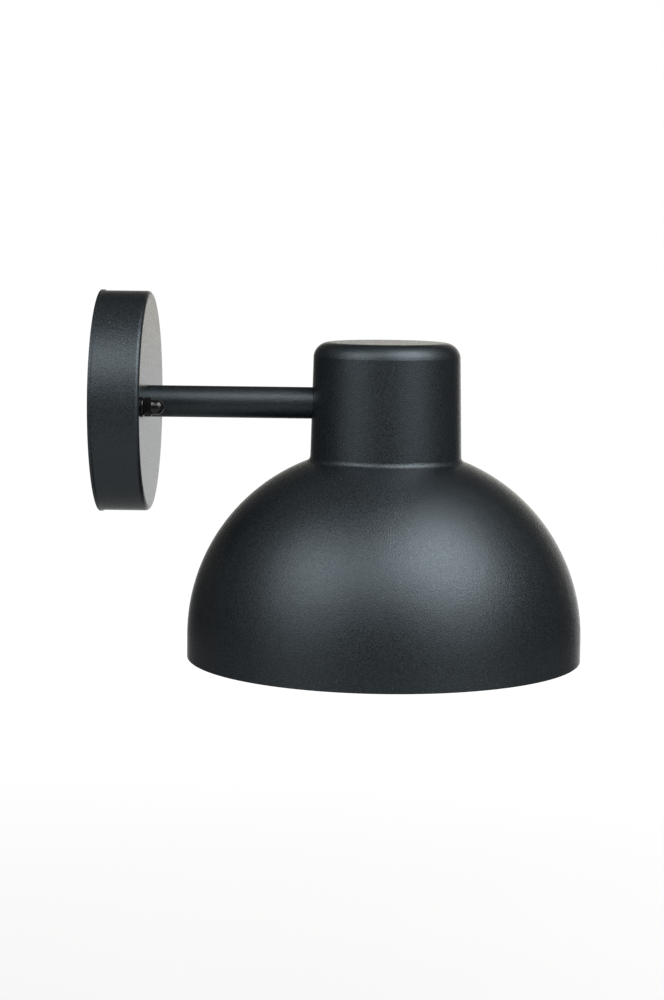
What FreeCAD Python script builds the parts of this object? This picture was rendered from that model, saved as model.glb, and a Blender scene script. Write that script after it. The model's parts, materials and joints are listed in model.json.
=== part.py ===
import FreeCAD, Part
import math
import os
from types import SimpleNamespace

import Sketcher

# A wall light: a round canopy on the wall, a straight tube arm, and a spun bell shade whose
# neck the arm meets from the side. The origin is on the wall, on the arm's centre line.
# +X leaves the wall, +Z is up. Lengths are in millimetres, angles in degrees.

Vector = FreeCAD.Vector
Rotation = FreeCAD.Rotation

doc = FreeCAD.newDocument("wall_light")

# ------------------------------------------------------------------ driving dimensions

DRIVING = (
    ("canopy_diameter", 111, "outside of the wall canopy"),
    ("canopy_depth", 25, "wall to the canopy's face"),
    ("canopy_sheet", 1.2, "steel of the canopy"),
    ("canopy_edge_radius", 2.2, "outer radius round the canopy's face"),
    ("canopy_lip", 0.5, "how far the rim at the wall stands out"),
    ("canopy_lip_depth", 1.2, "width of that rim"),
    ("stud_spacing", 84, "centre to centre of the two canopy studs"),
    ("stud_diameter", 5, "M5 stud"),
    ("stud_end_gap", 1.5, "end of the stud to the bottom of the dome nut's thread"),
    ("stud_head_diameter", 9.5, "head of the stud"),
    ("stud_head_height", 3, "height of that head"),
    ("stud_hole_play", 0.25, "radial play of the studs in the canopy and washers"),
    ("lock_nut_flats", 8, "across flats of the stud's lock nut"),
    ("lock_nut_height", 4, "height of the stud's lock nut"),
    ("washer_diameter", 10, "washer below the dome nut"),
    ("washer_sheet", 1, "thickness of that washer"),
    ("cap_nut_flats", 8, "across flats of the dome nut"),
    ("cap_nut_hex_height", 4, "height of its hexagon"),
    ("cap_nut_height", 10, "height of the whole dome nut"),
    ("cap_nut_dome_diameter", 7.5, "its dome"),
    ("cap_nut_thread_depth", 7.5, "depth of its blind thread"),
    ("bracket_sheet", 1.5, "steel of the wall bracket"),
    ("bracket_strap_width", 22, "upright strap, width"),
    ("bracket_strap_margin", 4, "wall-screw slot to the end of the upright strap"),
    ("bracket_strap_corner", 4, "corner radius of the strap"),
    ("ear_width", 16, "cross ears, width"),
    ("ear_lift", 4, "back of the ears off the wall"),
    ("ear_start", 14, "centre line to the ear's first bend"),
    ("ear_rise_run", 4, "run over which the ear rises"),
    ("ear_margin", 7, "stud to the ear's end"),
    ("wall_screw_spacing", 70, "centre to centre of the two wall-screw slots"),
    ("slot_length", 12, "wall-screw slot, end to end"),
    ("slot_width", 5, "wall-screw slot, width"),
    ("cable_entry_diameter", 14, "hole for the supply cable"),
    ("cable_entry_drop", 16, "that hole below the arm's centre line"),
    ("block_width", 28.5, "terminal block across"),
    ("block_height", 17, "terminal block up and down"),
    ("block_depth", 13, "terminal block off the bracket"),
    ("block_rise", 9, "arm's centre line to the block's lower side"),
    ("pole_pitch", 9.5, "between neighbouring terminals"),
    ("clamp_side", 5, "side of the square brass clamp"),
    ("clamp_length", 14, "length of the brass clamp"),
    ("clamp_bore", 3.2, "wire hole of the clamp"),
    ("clamp_depth", 5, "bracket to the clamp's centre line"),
    ("clamp_play", 0.1, "play of the clamp in its cavity"),
    ("clamp_screw_diameter", 3, "screw of the clamp"),
    ("clamp_screw_head", 3.8, "head of that screw"),
    ("clamp_screw_head_height", 2, "height of that head"),
    ("clamp_screw_inset", 4.5, "end of the block to that screw"),
    ("clamp_screw_sink", 2, "head below the block's face"),
    ("block_screw_diameter", 3, "screws that hold the block"),
    ("block_screw_head", 5.2, "head of those screws"),
    ("block_screw_head_height", 2.5, "height of that head"),
    ("earth_screw_diameter", 4, "M4 earth screw"),
    ("earth_screw_head", 8, "head of the earth screw"),
    ("earth_screw_head_height", 2.5, "height of that head"),
    ("earth_screw_reach", 2, "earth screw behind the ear"),
    ("earth_screw_offset", 27, "centre line to the earth screw"),
    ("tag_sheet", 0.8, "steel of the ring tag"),
    ("tag_neck", 3, "width of the tag's neck"),
    ("tag_barrel_start", 6.5, "screw to the start of the crimp barrel"),
    ("tag_barrel_length", 6, "length of the crimp barrel"),
    ("tag_barrel_diameter", 3.6, "outside of the crimp barrel"),
    ("arm_diameter", 16, "arm tube, outside"),
    ("arm_wall", 1.2, "arm tube, wall"),
    ("axis_from_wall", 144, "wall to the centre line of the shade"),
    ("bush_length", 14, "threaded bush in each end of the arm"),
    ("bush_play", 0.05, "radial play of the bush in the arm"),
    ("bush_setback", 0.3, "bush back from the neck"),
    ("nipple_diameter", 10, "M10x1 hollow threaded tube"),
    ("nipple_bore", 7, "its bore"),
    ("nipple_engagement", 12, "its length inside the bush"),
    ("nipple_tail", 1.5, "its length past the nut"),
    ("nipple_hole_play", 0.25, "radial play of the tube in sheet metal"),
    ("thread_play", 0.05, "radial play of a nut on its thread"),
    ("nut_flats", 14, "across flats of the M10 nut"),
    ("nut_height", 3, "height of the M10 nut"),
    ("tooth_washer_diameter", 16, "toothed washer"),
    ("tooth_washer_sheet", 0.8, "thickness of that washer"),
    ("tooth_count", 16, "notches round that washer"),
    ("tooth_depth", 1.2, "depth of those notches"),
    ("shade_diameter", 200, "outside of the bell"),
    ("shade_height", 160, "rim to top"),
    ("shade_top", 31, "arm's centre line to the top of the shade"),
    ("shade_sheet", 1, "steel of the shade"),
    ("skirt_height", 11.5, "upright band above the rim"),
    ("dome_radius", 95, "section radius of the bell"),
    ("neck_base_diameter", 76.5, "neck where it meets the bell"),
    ("neck_taper", 2.4, "how much narrower the neck is below its top edge"),
    ("neck_root_radius", 3, "hollow radius between neck and bell"),
    ("crown_radius", 8.2, "radius round the top of the neck"),
    ("crown_angle", 7, "slope left where that radius meets the neck"),
    ("rim_radius", 0.35, "broken edge of the rim"),
    ("strap_sheet", 2, "steel of the holder strap"),
    ("strap_width", 16, "width of the holder strap"),
    ("strap_bend", 3, "outer radius of its bend"),
    ("strap_drop", 9, "arm's centre line to its lower end"),
    ("strap_seat_play", 0.1, "strap off the inside of the neck"),
    ("strap_wire_hole", 10, "hole that lets the wires up"),
    ("strap_wire_hole_offset", 16.5, "centre line of the shade to that hole"),
    ("holder_top", 14, "arm's centre line to the top of the lampholder"),
    ("holder_cap_diameter", 39, "cap of the lampholder"),
    ("holder_cap_height", 20, "height of that cap"),
    ("holder_cap_wall", 2, "wall of that cap"),
    ("holder_shoulder", 10, "radius of the cap's shoulder"),
    ("holder_boss_depth", 6.5, "threaded boss of the cap"),
    ("holder_ceiling_radius", 14.5, "inside of the cap next to the boss"),
    ("holder_shoulder_inside", 12, "top of the cap to the foot of its inner slope"),
    ("skirt_diameter", 41, "skirt of the lampholder, at its top"),
    ("skirt_mouth_diameter", 39.6, "skirt at its mouth"),
    ("skirt_mouth_bore", 35.2, "inside of the skirt"),
    ("skirt_edge_radius", 1.2, "rounded edge of the mouth"),
    ("skirt_neck_rise", 7, "neck of the skirt inside the cap"),
    ("skirt_neck_play", 0.1, "radial play of that neck"),
    ("skirt_ledge", 2, "ledge that carries the contact base"),
    ("skirt_ledge_bore", 29, "bore of that ledge"),
    ("holder_length", 59.5, "lampholder, top to mouth"),
    ("base_diameter", 30.8, "ceramic contact base"),
    ("base_play", 0.2, "radial play of the base in the skirt"),
    ("base_thickness", 8, "thickness of the base"),
    ("post_height", 6, "terminal posts on the base"),
    ("post_width", 7, "terminal posts, across"),
    ("post_inner", 6.5, "centre line to the near side of a post"),
    ("centre_post_outer", 12, "centre line to the far side of the live post"),
    ("side_post_outer", 13.9, "centre line to the far side of the neutral post"),
    ("post_wire_offset", 9, "centre line to the wire hole"),
    ("post_wire_depth", 4, "depth of the wire hole"),
    ("post_wire_play", 0.15, "radial play of the wire in its hole"),
    ("post_screw_diameter", 3, "screw of a post"),
    ("post_screw_head", 5.2, "head of that screw"),
    ("post_screw_head_height", 1.7, "height of that head"),
    ("rivet_diameter", 2, "rivets through the base"),
    ("rivet_play", 0.05, "radial play of the rivets"),
    ("centre_rivet_offset", 8, "centre line to the live rivet"),
    ("side_rivet_offset", 12.6, "centre line to the neutral rivet"),
    ("shell_bore", 26.9, "screw shell of the holder, inside"),
    ("shell_sheet", 0.5, "brass of that shell"),
    ("shell_length", 22, "length of that shell"),
    ("shell_flange_bore", 23, "bore of the flange that it hangs by"),
    ("tongue_sheet", 0.5, "spring tongue"),
    ("tongue_width", 6, "width of the tongue"),
    ("tongue_root", 10, "centre line to the tongue's fixed end"),
    ("tongue_bend", 5.5, "centre line to the tongue's first bend"),
    ("tongue_drop", 3.5, "height that the tongue springs down"),
    ("tongue_tip", 3, "centre line to the tongue's tip"),
    ("tongue_flat", 1, "centre line to the tongue's second bend"),
    ("contact_gap", 0.3, "gap below the tongue and below the lamp's contact"),
    ("bulb_length", 105, "lamp, contact to tip"),
    ("bulb_diameter", 60, "lamp's glass"),
    ("bulb_glass_wall", 1, "thickness of that glass"),
    ("bulb_cap_diameter", 26.2, "lamp's screw cap"),
    ("bulb_cap_sheet", 0.3, "brass of that cap"),
    ("bulb_cap_length", 22, "length of that cap"),
    ("bulb_cap_flange_bore", 18, "opening in the end of that cap"),
    ("bulb_contact_diameter", 9.6, "lamp's end contact"),
    ("bulb_contact_height", 1.5, "height of that contact"),
    ("bulb_insulator_height", 3.4, "glass insulator of the lamp"),
    ("bulb_insulator_diameter", 23.4, "insulator where it meets the cap"),
    ("bulb_neck_inset", 4, "glass neck inside the cap"),
    ("bulb_neck_play", 0.05, "radial play of that neck"),
    ("bulb_neck_length", 2.5, "straight glass neck below the cap"),
    ("wire_diameter", 2, "insulated wire"),
    ("wire_spacing", 3.2, "between the two wires inside the arm"),
)

sheet = doc.addObject("Spreadsheet::Sheet", "Sizes")
for row, (alias, value, note) in enumerate(DRIVING, start=1):
    sheet.set(f"A{row}", alias)
    sheet.set(f"B{row}", str(value))
    sheet.set(f"C{row}", note)
    sheet.setAlias(f"B{row}", alias)
doc.recompute()


class Size:
    """A size from the sheet, or one worked out from others: its value and its formula."""

    def __init__(self, number, text):
        self.number = number
        self.text = text

    def _joined(self, sign, other, number):
        return Size(number, f"({self.text} {sign} {formula(other)})")

    def __add__(self, other):
        return self._joined("+", other, self.number + plain(other))

    def __sub__(self, other):
        return self._joined("-", other, self.number - plain(other))

    def __mul__(self, other):
        return self._joined("*", other, self.number * plain(other))

    def __truediv__(self, other):
        return self._joined("/", other, self.number / plain(other))

    def __neg__(self):
        return Size(-self.number, f"(0 - {self.text})")


def plain(value):
    return value.number if isinstance(value, Size) else value


def formula(value):
    return value.text if isinstance(value, Size) else str(value)


def root(value):
    return Size(math.sqrt(value.number), f"sqrt({value.text})")


def sine(angle):
    return Size(math.sin(math.radians(angle.number)), f"sin({angle.text})")


def cosine(angle):
    return Size(math.cos(math.radians(angle.number)), f"cos({angle.text})")


def bind(item, prop, value):
    """Tie a property to its formula, or leave it at a plain zero."""
    if isinstance(value, Size):
        item.setExpression(prop, value.text)


size = SimpleNamespace(
    **{alias: Size(float(sheet.get(alias)), f"Sizes.{alias}") for alias, _, _ in DRIVING}
)

# ------------------------------------------------------------------ ways of making a piece

TURN = {
    "x": Rotation(Vector(0, 1, 0), 90),
    "y": Rotation(Vector(1, 0, 0), -90),
    "z": Rotation(),
}
nodes = []


def node(item):
    """Count an object as a finished sub-part: its label names its file."""
    nodes.append(item)
    return item


def primitive(kind, label, at, axis="z", **sizes):
    item = doc.addObject(f"Part::{kind}", label)
    item.Placement = FreeCAD.Placement(Vector(), TURN[axis])
    for prop, value in sizes.items():
        bind(item, prop, value)
    for letter, value in zip("xyz", at):
        bind(item, f"Placement.Base.{letter}", value)
    return item


def cylinder(label, at, radius, height, axis="z"):
    return primitive("Cylinder", label, at, axis, Radius=radius, Height=height)


def block(label, at, length, width, height):
    return primitive("Box", label, at, Length=length, Width=width, Height=height)


def hexagon(label, at, flats, height, axis="z"):
    """A six-sided prism; along X, two of its corners point up and down."""
    corner_radius = flats / math.sqrt(3)
    item = primitive("Prism", label, at, axis, Circumradius=corner_radius, Height=height)
    item.Polygon = 6
    return item


def fused(label, *items):
    item = doc.addObject("Part::MultiFuse", label)
    item.Shapes = list(items)
    item.Refine = True
    return item


def less(label, base, *tools):
    item = doc.addObject("Part::Cut", label)
    item.Base = base
    item.Tool = tools[0] if len(tools) == 1 else fused(f"{label}_voids", *tools)
    return item


def grouped(label, *items):
    item = doc.addObject("Part::Compound", label)
    item.Links = list(items)
    return item


def mirrored(label, source):
    """The same piece on the other side of the XZ plane."""
    item = doc.addObject("Part::Mirroring", label)
    item.Source = source
    item.Normal = Vector(0, 1, 0)
    return item


def arc(centre, end, hold, clockwise=False):
    """An arc step of an outline: 'hold' says which coordinate fixes its end."""
    return SimpleNamespace(centre=centre, end=end, hold=hold, clockwise=clockwise)


def pin_point(sketch, geometry, corner, point, hold="xy"):
    """Fix a corner at its two sizes, each measured from the sketch's origin.

    In a sketch's own numbering its origin is point 1 of line -1, the level axis, and the
    upright axis is line -2.
    """
    for letter, value in zip("xy", point):
        if letter not in hold:
            continue
        if isinstance(value, Size):
            kind = f"Distance{letter.upper()}"
            rule = Sketcher.Constraint(kind, -1, 1, geometry, corner, value.number)
            index = sketch.addConstraint(rule)
            sketch.setExpression(f"Constraints[{index}]", value.text)
        else:
            crossed = -2 if letter == "x" else -1
            sketch.addConstraint(Sketcher.Constraint("PointOnObject", geometry, corner, crossed))


def outline(body, label, plane, start, *steps):
    """Sketch a closed outline of lines and arcs on one of the body's own planes.

    The last side, back to the start, is a straight line.
    """
    sketch = body.newObject("Sketcher::SketchObject", label)
    origin_plane = next(item for item in body.Origin.OriginFeatures if item.Role == plane)
    sketch.AttachmentSupport = [(origin_plane, "")]
    sketch.MapMode = "FlatFace"
    here = start
    first_corner = None
    last_corner = None
    for step in (*steps, start):
        is_arc = isinstance(step, SimpleNamespace)
        there = step.end if is_arc else step
        begin = Vector(plain(here[0]), plain(here[1]), 0)
        end = Vector(plain(there[0]), plain(there[1]), 0)
        if is_arc:
            centre = Vector(plain(step.centre[0]), plain(step.centre[1]), 0)
            low, high = (end, begin) if step.clockwise else (begin, end)
            angles = [math.atan2(p.y - centre.y, p.x - centre.x) for p in (low, high)]
            circle = Part.Circle(centre, Vector(0, 0, 1), (low - centre).Length)
            geometry = sketch.addGeometry(Part.ArcOfCircle(circle, *angles), False)
            enter, leave = (2, 1) if step.clockwise else (1, 2)
            pin_point(sketch, geometry, 3, step.centre)
        else:
            geometry = sketch.addGeometry(Part.LineSegment(begin, end), False)
            enter, leave = 1, 2
        if last_corner:
            sketch.addConstraint(Sketcher.Constraint("Coincident", *last_corner, geometry, enter))
        else:
            first_corner = (geometry, enter)
            pin_point(sketch, geometry, enter, start)
        last_corner = (geometry, leave)
        if step is start:
            sketch.addConstraint(Sketcher.Constraint("Coincident", *last_corner, *first_corner))
        else:
            pin_point(sketch, geometry, leave, there, step.hold if is_arc else "xy")
        here = there
    return sketch


def new_body(label, at=(0, 0, 0)):
    body = doc.addObject("PartDesign::Body", label)
    for letter, value in zip("xyz", at):
        bind(body, f"Placement.Base.{letter}", value)
    return body


def turned(label, axis, start, *steps, at=(0, 0, 0)):
    """A body made by revolving an outline of (X, Z) points about its own X or Z axis."""
    body = new_body(label, at)
    sketch = outline(body, f"{label}_outline", "XZ_Plane", start, *steps)
    revolution = body.newObject("PartDesign::Revolution", f"{label}_turned")
    revolution.Profile = sketch
    revolution.ReferenceAxis = (sketch, ["H_Axis" if axis == "x" else "V_Axis"])
    revolution.Angle = 360
    return body


def padded(label, plane, depth, start, *steps, at=(0, 0, 0)):
    """A body made by padding an outline equally to both sides of its plane."""
    body = new_body(label, at)
    sketch = outline(body, f"{label}_outline", plane, start, *steps)
    pad = body.newObject("PartDesign::Pad", f"{label}_pad")
    pad.Profile = sketch
    pad.SideType = "Symmetric"
    bind(pad, "Length", depth)
    return body


def round_edges(body, label, radius, at_height, edge_radius):
    """Fillet the circular edges of a turned body at one height and radius."""
    doc.recompute()
    base = body.Tip
    tolerance = 1e-3
    names = []
    for index, edge in enumerate(base.Shape.Edges, start=1):
        curve = edge.Curve
        if not isinstance(curve, Part.Circle):
            continue
        off_height = abs(curve.Center.z - plain(at_height))
        off_radius = abs(curve.Radius - plain(edge_radius))
        if off_height < tolerance and off_radius < tolerance:
            names.append(f"Edge{index}")
    fillet = body.newObject("PartDesign::Fillet", label)
    fillet.Base = (base, names)
    bind(fillet, "Radius", radius)


# ------------------------------------------------------------------ wall bracket

strap_half = size.bracket_strap_width / 2
strap_reach = (size.wall_screw_spacing + size.slot_length) / 2 + size.bracket_strap_margin
ear_front = size.ear_lift + size.bracket_sheet
stud_offset = size.stud_spacing / 2
stud_radius = size.stud_diameter / 2
ear_reach = stud_offset + size.ear_margin
half_slot = (size.slot_length - size.slot_width) / 2
slot_radius = size.slot_width / 2
block_middle = size.block_rise + size.block_height / 2


def make_wall_bracket():
    """A pressed cross: the strap lies on the wall, its ears rise and carry the studs."""
    corner = size.bracket_strap_corner
    upper = strap_reach - corner
    inner = strap_half - corner
    strap = new_body("bracket_strap")
    sketch = outline(
        strap, "bracket_strap_outline", "YZ_Plane",
        (strap_half, upper),
        arc((inner, upper), (inner, strap_reach), "x"),
        (-inner, strap_reach),
        arc((-inner, upper), (-strap_half, upper), "y"),
        (-strap_half, -upper),
        arc((-inner, -upper), (-inner, -strap_reach), "x"),
        (inner, -strap_reach),
        arc((inner, -upper), (strap_half, -upper), "y"),
    )
    pad = strap.newObject("PartDesign::Pad", "bracket_strap_pad")
    pad.Profile = sketch
    bind(pad, "Length", size.bracket_sheet)

    bend_shift = size.bracket_sheet * size.ear_lift / size.ear_rise_run / 2
    ear_top = size.ear_start + size.ear_rise_run
    half = (
        (0, size.ear_start),
        (size.ear_lift, ear_top),
        (size.ear_lift, ear_reach),
        (ear_front, ear_reach),
        (ear_front, ear_top - bend_shift),
        (size.bracket_sheet, size.ear_start - bend_shift),
    )
    other_half = [(x, -y) for x, y in reversed(half)]
    ears = padded("bracket_ears", "XY_Plane", size.ear_width, *half, *other_half)

    holes = [
        cylinder("cable_entry", (0, 0, -size.cable_entry_drop), size.cable_entry_diameter / 2,
                 ear_front, "x"),
        cylinder("earth_hole", (0, -size.earth_screw_offset, 0),
                 size.earth_screw_diameter / 2 + size.thread_play, ear_front, "x"),
    ]
    for side in (-1, 1):
        name = "low" if side < 0 else "high"
        middle = size.wall_screw_spacing / 2 * side
        holes.append(block(f"slot_{name}", (0, -slot_radius, middle - half_slot),
                           size.bracket_sheet, size.slot_width, half_slot * 2))
        for end in (-1, 1):
            holes.append(cylinder(f"slot_{name}_end_{end + 1}", (0, 0, middle + half_slot * end),
                                  slot_radius, size.bracket_sheet, "x"))
        holes.append(cylinder(f"stud_hole_{name}", (0, stud_offset * side, 0),
                              stud_radius + size.thread_play, ear_front, "x"))
        holes.append(cylinder(f"block_screw_hole_{name}",
                              (0, size.pole_pitch / 2 * side, block_middle),
                              size.block_screw_diameter / 2 + size.thread_play,
                              size.bracket_sheet, "x"))
    return less("wall_bracket", fused("bracket_cross", strap, ears), *holes)


node(make_wall_bracket())

# ------------------------------------------------------------------ canopy and its fixings

canopy_radius = size.canopy_diameter / 2
canopy_inside = size.canopy_depth - size.canopy_sheet
nipple_radius = size.nipple_diameter / 2
nipple_hole = nipple_radius + size.nipple_hole_play
cap_nut_seat = size.canopy_depth + size.washer_sheet
stud_end = cap_nut_seat + size.cap_nut_thread_depth - size.stud_end_gap


def make_canopy():
    """A deep-drawn cup, open at the wall, with the holes for the arm and the studs."""
    rim = canopy_radius + size.canopy_lip
    edge = size.canopy_edge_radius
    edge_x = size.canopy_depth - edge
    edge_r = canopy_radius - edge
    wall_r = canopy_radius - size.canopy_sheet
    cup = turned(
        "canopy_cup", "x",
        (0, rim),
        (size.canopy_lip_depth, rim),
        (size.canopy_lip_depth + size.canopy_lip, canopy_radius),
        (edge_x, canopy_radius),
        arc((edge_x, edge_r), (size.canopy_depth, edge_r), "y", clockwise=True),
        (size.canopy_depth, nipple_hole),
        (canopy_inside, nipple_hole),
        (canopy_inside, edge_r),
        arc((edge_x, edge_r), (edge_x, wall_r), "x"),
        (0, wall_r),
    )
    holes = [
        cylinder(f"canopy_hole_{side + 1}", (canopy_inside, stud_offset * side, 0),
                 stud_radius + size.stud_hole_play, size.canopy_sheet, "x")
        for side in (-1, 1)
    ]
    return less("canopy", cup, *holes)


def make_stud():
    head = cylinder("stud_head", (size.ear_lift - size.stud_head_height, -stud_offset, 0),
                    size.stud_head_diameter / 2, size.stud_head_height, "x")
    shank = cylinder("stud_shank", (size.ear_lift, -stud_offset, 0), stud_radius,
                     stud_end - size.ear_lift, "x")
    return fused("stud", head, shank)


def nut(label, at, flats, height, bore_radius, axis):
    body = hexagon(f"{label}_hexagon", at, flats, height, axis)
    return less(label, body, cylinder(f"{label}_bore", at, bore_radius, height, axis))


def make_cap_nut():
    """Hexagon, straight collar and half ball, with a blind thread."""
    radius = size.cap_nut_dome_diameter / 2
    ball_x = cap_nut_seat + size.cap_nut_height - radius
    at = (cap_nut_seat, -stud_offset, 0)
    solid = fused(
        "cap_nut_solid",
        hexagon("cap_nut_hexagon", at, size.cap_nut_flats, size.cap_nut_hex_height, "x"),
        cylinder("cap_nut_collar", at, radius, ball_x - cap_nut_seat, "x"),
        primitive("Sphere", "cap_nut_ball", (ball_x, -stud_offset, 0), "x", Radius=radius),
    )
    thread = cylinder("cap_nut_thread", at, stud_radius + size.thread_play,
                      size.cap_nut_thread_depth, "x")
    return less("cap_nut", solid, thread)


def pair(label, item):
    """One piece at the near side and its twin at the far side."""
    return node(grouped(label, item, mirrored(f"{label}_twin", item)))


node(make_canopy())
pair("canopy_studs", make_stud())
pair("stud_lock_nuts", nut("stud_lock_nut", (ear_front, -stud_offset, 0), size.lock_nut_flats,
                           size.lock_nut_height, stud_radius + size.thread_play, "x"))
washer_at = (size.canopy_depth, -stud_offset, 0)
pair("cap_nut_washers", less(
    "cap_nut_washer",
    cylinder("washer_disc", washer_at, size.washer_diameter / 2, size.washer_sheet, "x"),
    cylinder("washer_hole", washer_at, stud_radius + size.stud_hole_play, size.washer_sheet, "x"),
))
pair("cap_nuts", make_cap_nut())

# ------------------------------------------------------------------ terminal block and earth

clamp_x = size.bracket_sheet + size.clamp_depth
block_front = size.bracket_sheet + size.block_depth
clamp_half = size.clamp_side / 2
clamp_bottom = block_middle - size.clamp_length / 2
clamp_screw_radius = size.clamp_screw_diameter / 2
clamp_screw_heights = (size.block_rise + size.clamp_screw_inset,
                       size.block_rise + size.block_height - size.clamp_screw_inset)
block_screw_radius = size.block_screw_diameter / 2
block_screw_seat = block_front - size.clamp_screw_sink - size.block_screw_head_height


def make_terminal_block():
    """A moulded three-way block with its cavities and screw shafts, and the brass in it."""
    body = block("block_moulding", (size.bracket_sheet, -size.block_width / 2, size.block_rise),
                 size.block_depth, size.block_width, size.block_height)
    cavities = []
    clamps = []
    screws = []
    cavity_half = clamp_half + size.clamp_play
    shaft_radius = size.clamp_screw_head / 2 + size.clamp_play
    screw_start = clamp_x + size.wire_diameter / 2 + size.clamp_play
    screw_end = block_front - size.clamp_screw_sink
    head_start = screw_end - size.clamp_screw_head_height
    for pole in (-1, 0, 1):
        y = size.pole_pitch * pole
        tag = pole + 1
        cavities.append(block(f"cavity_{tag}", (clamp_x - cavity_half, y - cavity_half,
                                                size.block_rise),
                              cavity_half * 2, cavity_half * 2, size.block_height))
        bar = block(f"clamp_bar_{tag}", (clamp_x - clamp_half, y - clamp_half, clamp_bottom),
                    size.clamp_side, size.clamp_side, size.clamp_length)
        bores = [cylinder(f"clamp_bore_{tag}", (clamp_x, y, clamp_bottom), size.clamp_bore / 2,
                          size.clamp_length)]
        for index, height in enumerate(clamp_screw_heights):
            name = f"{tag}_{index}"
            cavities.append(cylinder(f"shaft_{name}", (clamp_x, y, height), shaft_radius,
                                     block_front - clamp_x, "x"))
            bores.append(cylinder(f"clamp_thread_{name}", (clamp_x, y, height),
                                  clamp_screw_radius + size.thread_play, clamp_half, "x"))
            screws.append(fused(
                f"clamp_screw_{name}",
                cylinder(f"clamp_shank_{name}", (screw_start, y, height), clamp_screw_radius,
                         head_start - screw_start, "x"),
                cylinder(f"clamp_head_{name}", (head_start, y, height),
                         size.clamp_screw_head / 2, size.clamp_screw_head_height, "x"),
            ))
        clamps.append(less(f"clamp_{tag}", bar, *bores))
    for side in (-1, 1):
        y = size.pole_pitch / 2 * side
        cavities.append(cylinder(f"block_hole_{side + 1}", (size.bracket_sheet, y, block_middle),
                                 block_screw_radius + size.clamp_play, size.block_depth, "x"))
        cavities.append(cylinder(f"block_sink_{side + 1}", (block_screw_seat, y, block_middle),
                                 size.block_screw_head / 2 + size.clamp_play,
                                 block_front - block_screw_seat, "x"))
    node(less("terminal_block", body, *cavities))
    node(grouped("terminal_inserts", *clamps))
    node(grouped("terminal_screws", *screws))


def make_block_screw():
    y = -size.pole_pitch / 2
    shank = cylinder("block_screw_shank", (0, y, block_middle), block_screw_radius,
                     block_screw_seat, "x")
    head = cylinder("block_screw_head", (block_screw_seat, y, block_middle),
                    size.block_screw_head / 2, size.block_screw_head_height, "x")
    return fused("block_screw", shank, head)


def make_earth_screw():
    y = -size.earth_screw_offset
    start = size.ear_lift - size.earth_screw_reach
    seat = ear_front + size.tag_sheet
    shank = cylinder("earth_shank", (start, y, 0), size.earth_screw_diameter / 2, seat - start, "x")
    head = cylinder("earth_head", (seat, y, 0), size.earth_screw_head / 2,
                    size.earth_screw_head_height, "x")
    return fused("earth_screw", shank, head)


tag_barrel_x = ear_front + size.tag_barrel_diameter / 2
tag_barrel_y = size.tag_barrel_start - size.earth_screw_offset


def make_earth_tag():
    """A ring tag below the earth screw, its crimp barrel pointing at the terminal block."""
    y = -size.earth_screw_offset
    ring = cylinder("tag_ring", (ear_front, y, 0), size.earth_screw_head / 2, size.tag_sheet, "x")
    neck = block("tag_neck_strip", (ear_front, y, -size.tag_neck / 2), size.tag_sheet,
                 size.tag_barrel_start + size.tag_barrel_length / 2, size.tag_neck)
    barrel = cylinder("tag_barrel", (tag_barrel_x, tag_barrel_y, 0), size.tag_barrel_diameter / 2,
                      size.tag_barrel_length, "y")
    hole = cylinder("tag_hole", (ear_front, y, 0),
                    size.earth_screw_diameter / 2 + size.thread_play, size.tag_sheet, "x")
    bore = cylinder("tag_bore", (tag_barrel_x, tag_barrel_y, 0),
                    size.wire_diameter / 2 + size.thread_play, size.tag_barrel_length, "y")
    return less("earth_tag", fused("tag_solid", ring, neck, barrel), hole, bore)


make_terminal_block()
pair("terminal_block_screws", make_block_screw())
node(make_earth_screw())
node(make_earth_tag())

# ------------------------------------------------------------------ shade

shade_radius = size.shade_diameter / 2
rim_z = size.shade_top - size.shade_height
dome_z = rim_z + size.skirt_height
neck_base_radius = size.neck_base_diameter / 2
neck_top_radius = neck_base_radius - size.neck_taper / 2
crown_z = size.shade_top - size.crown_radius + size.crown_radius * sine(size.crown_angle)


def bell_outline(inset):
    """Half section of the bell, its skirt and its neck, drawn in by the sheet for the inside."""
    skirt_r = shade_radius - inset
    dome_r = size.dome_radius - inset
    base_r = neck_base_radius - inset
    top_r = neck_top_radius - inset
    crown_r = size.crown_radius - inset
    centre_r = shade_radius - size.dome_radius
    base_z = dome_z + root(dome_r * dome_r - (base_r - centre_r) * (base_r - centre_r))
    crown_centre = (top_r - crown_r * cosine(size.crown_angle), size.shade_top - size.crown_radius)
    crown_end_z = crown_centre[1] + crown_r * sine(size.crown_angle)
    return (
        (skirt_r, rim_z),
        (skirt_r, dome_z),
        arc((centre_r, dome_z), (base_r, base_z), "x"),
        (top_r, crown_end_z),
        arc(crown_centre, (crown_centre[0], size.shade_top - inset), "x"),
        (0, size.shade_top - inset),
        (0, rim_z),
    ), base_r, base_z


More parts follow.
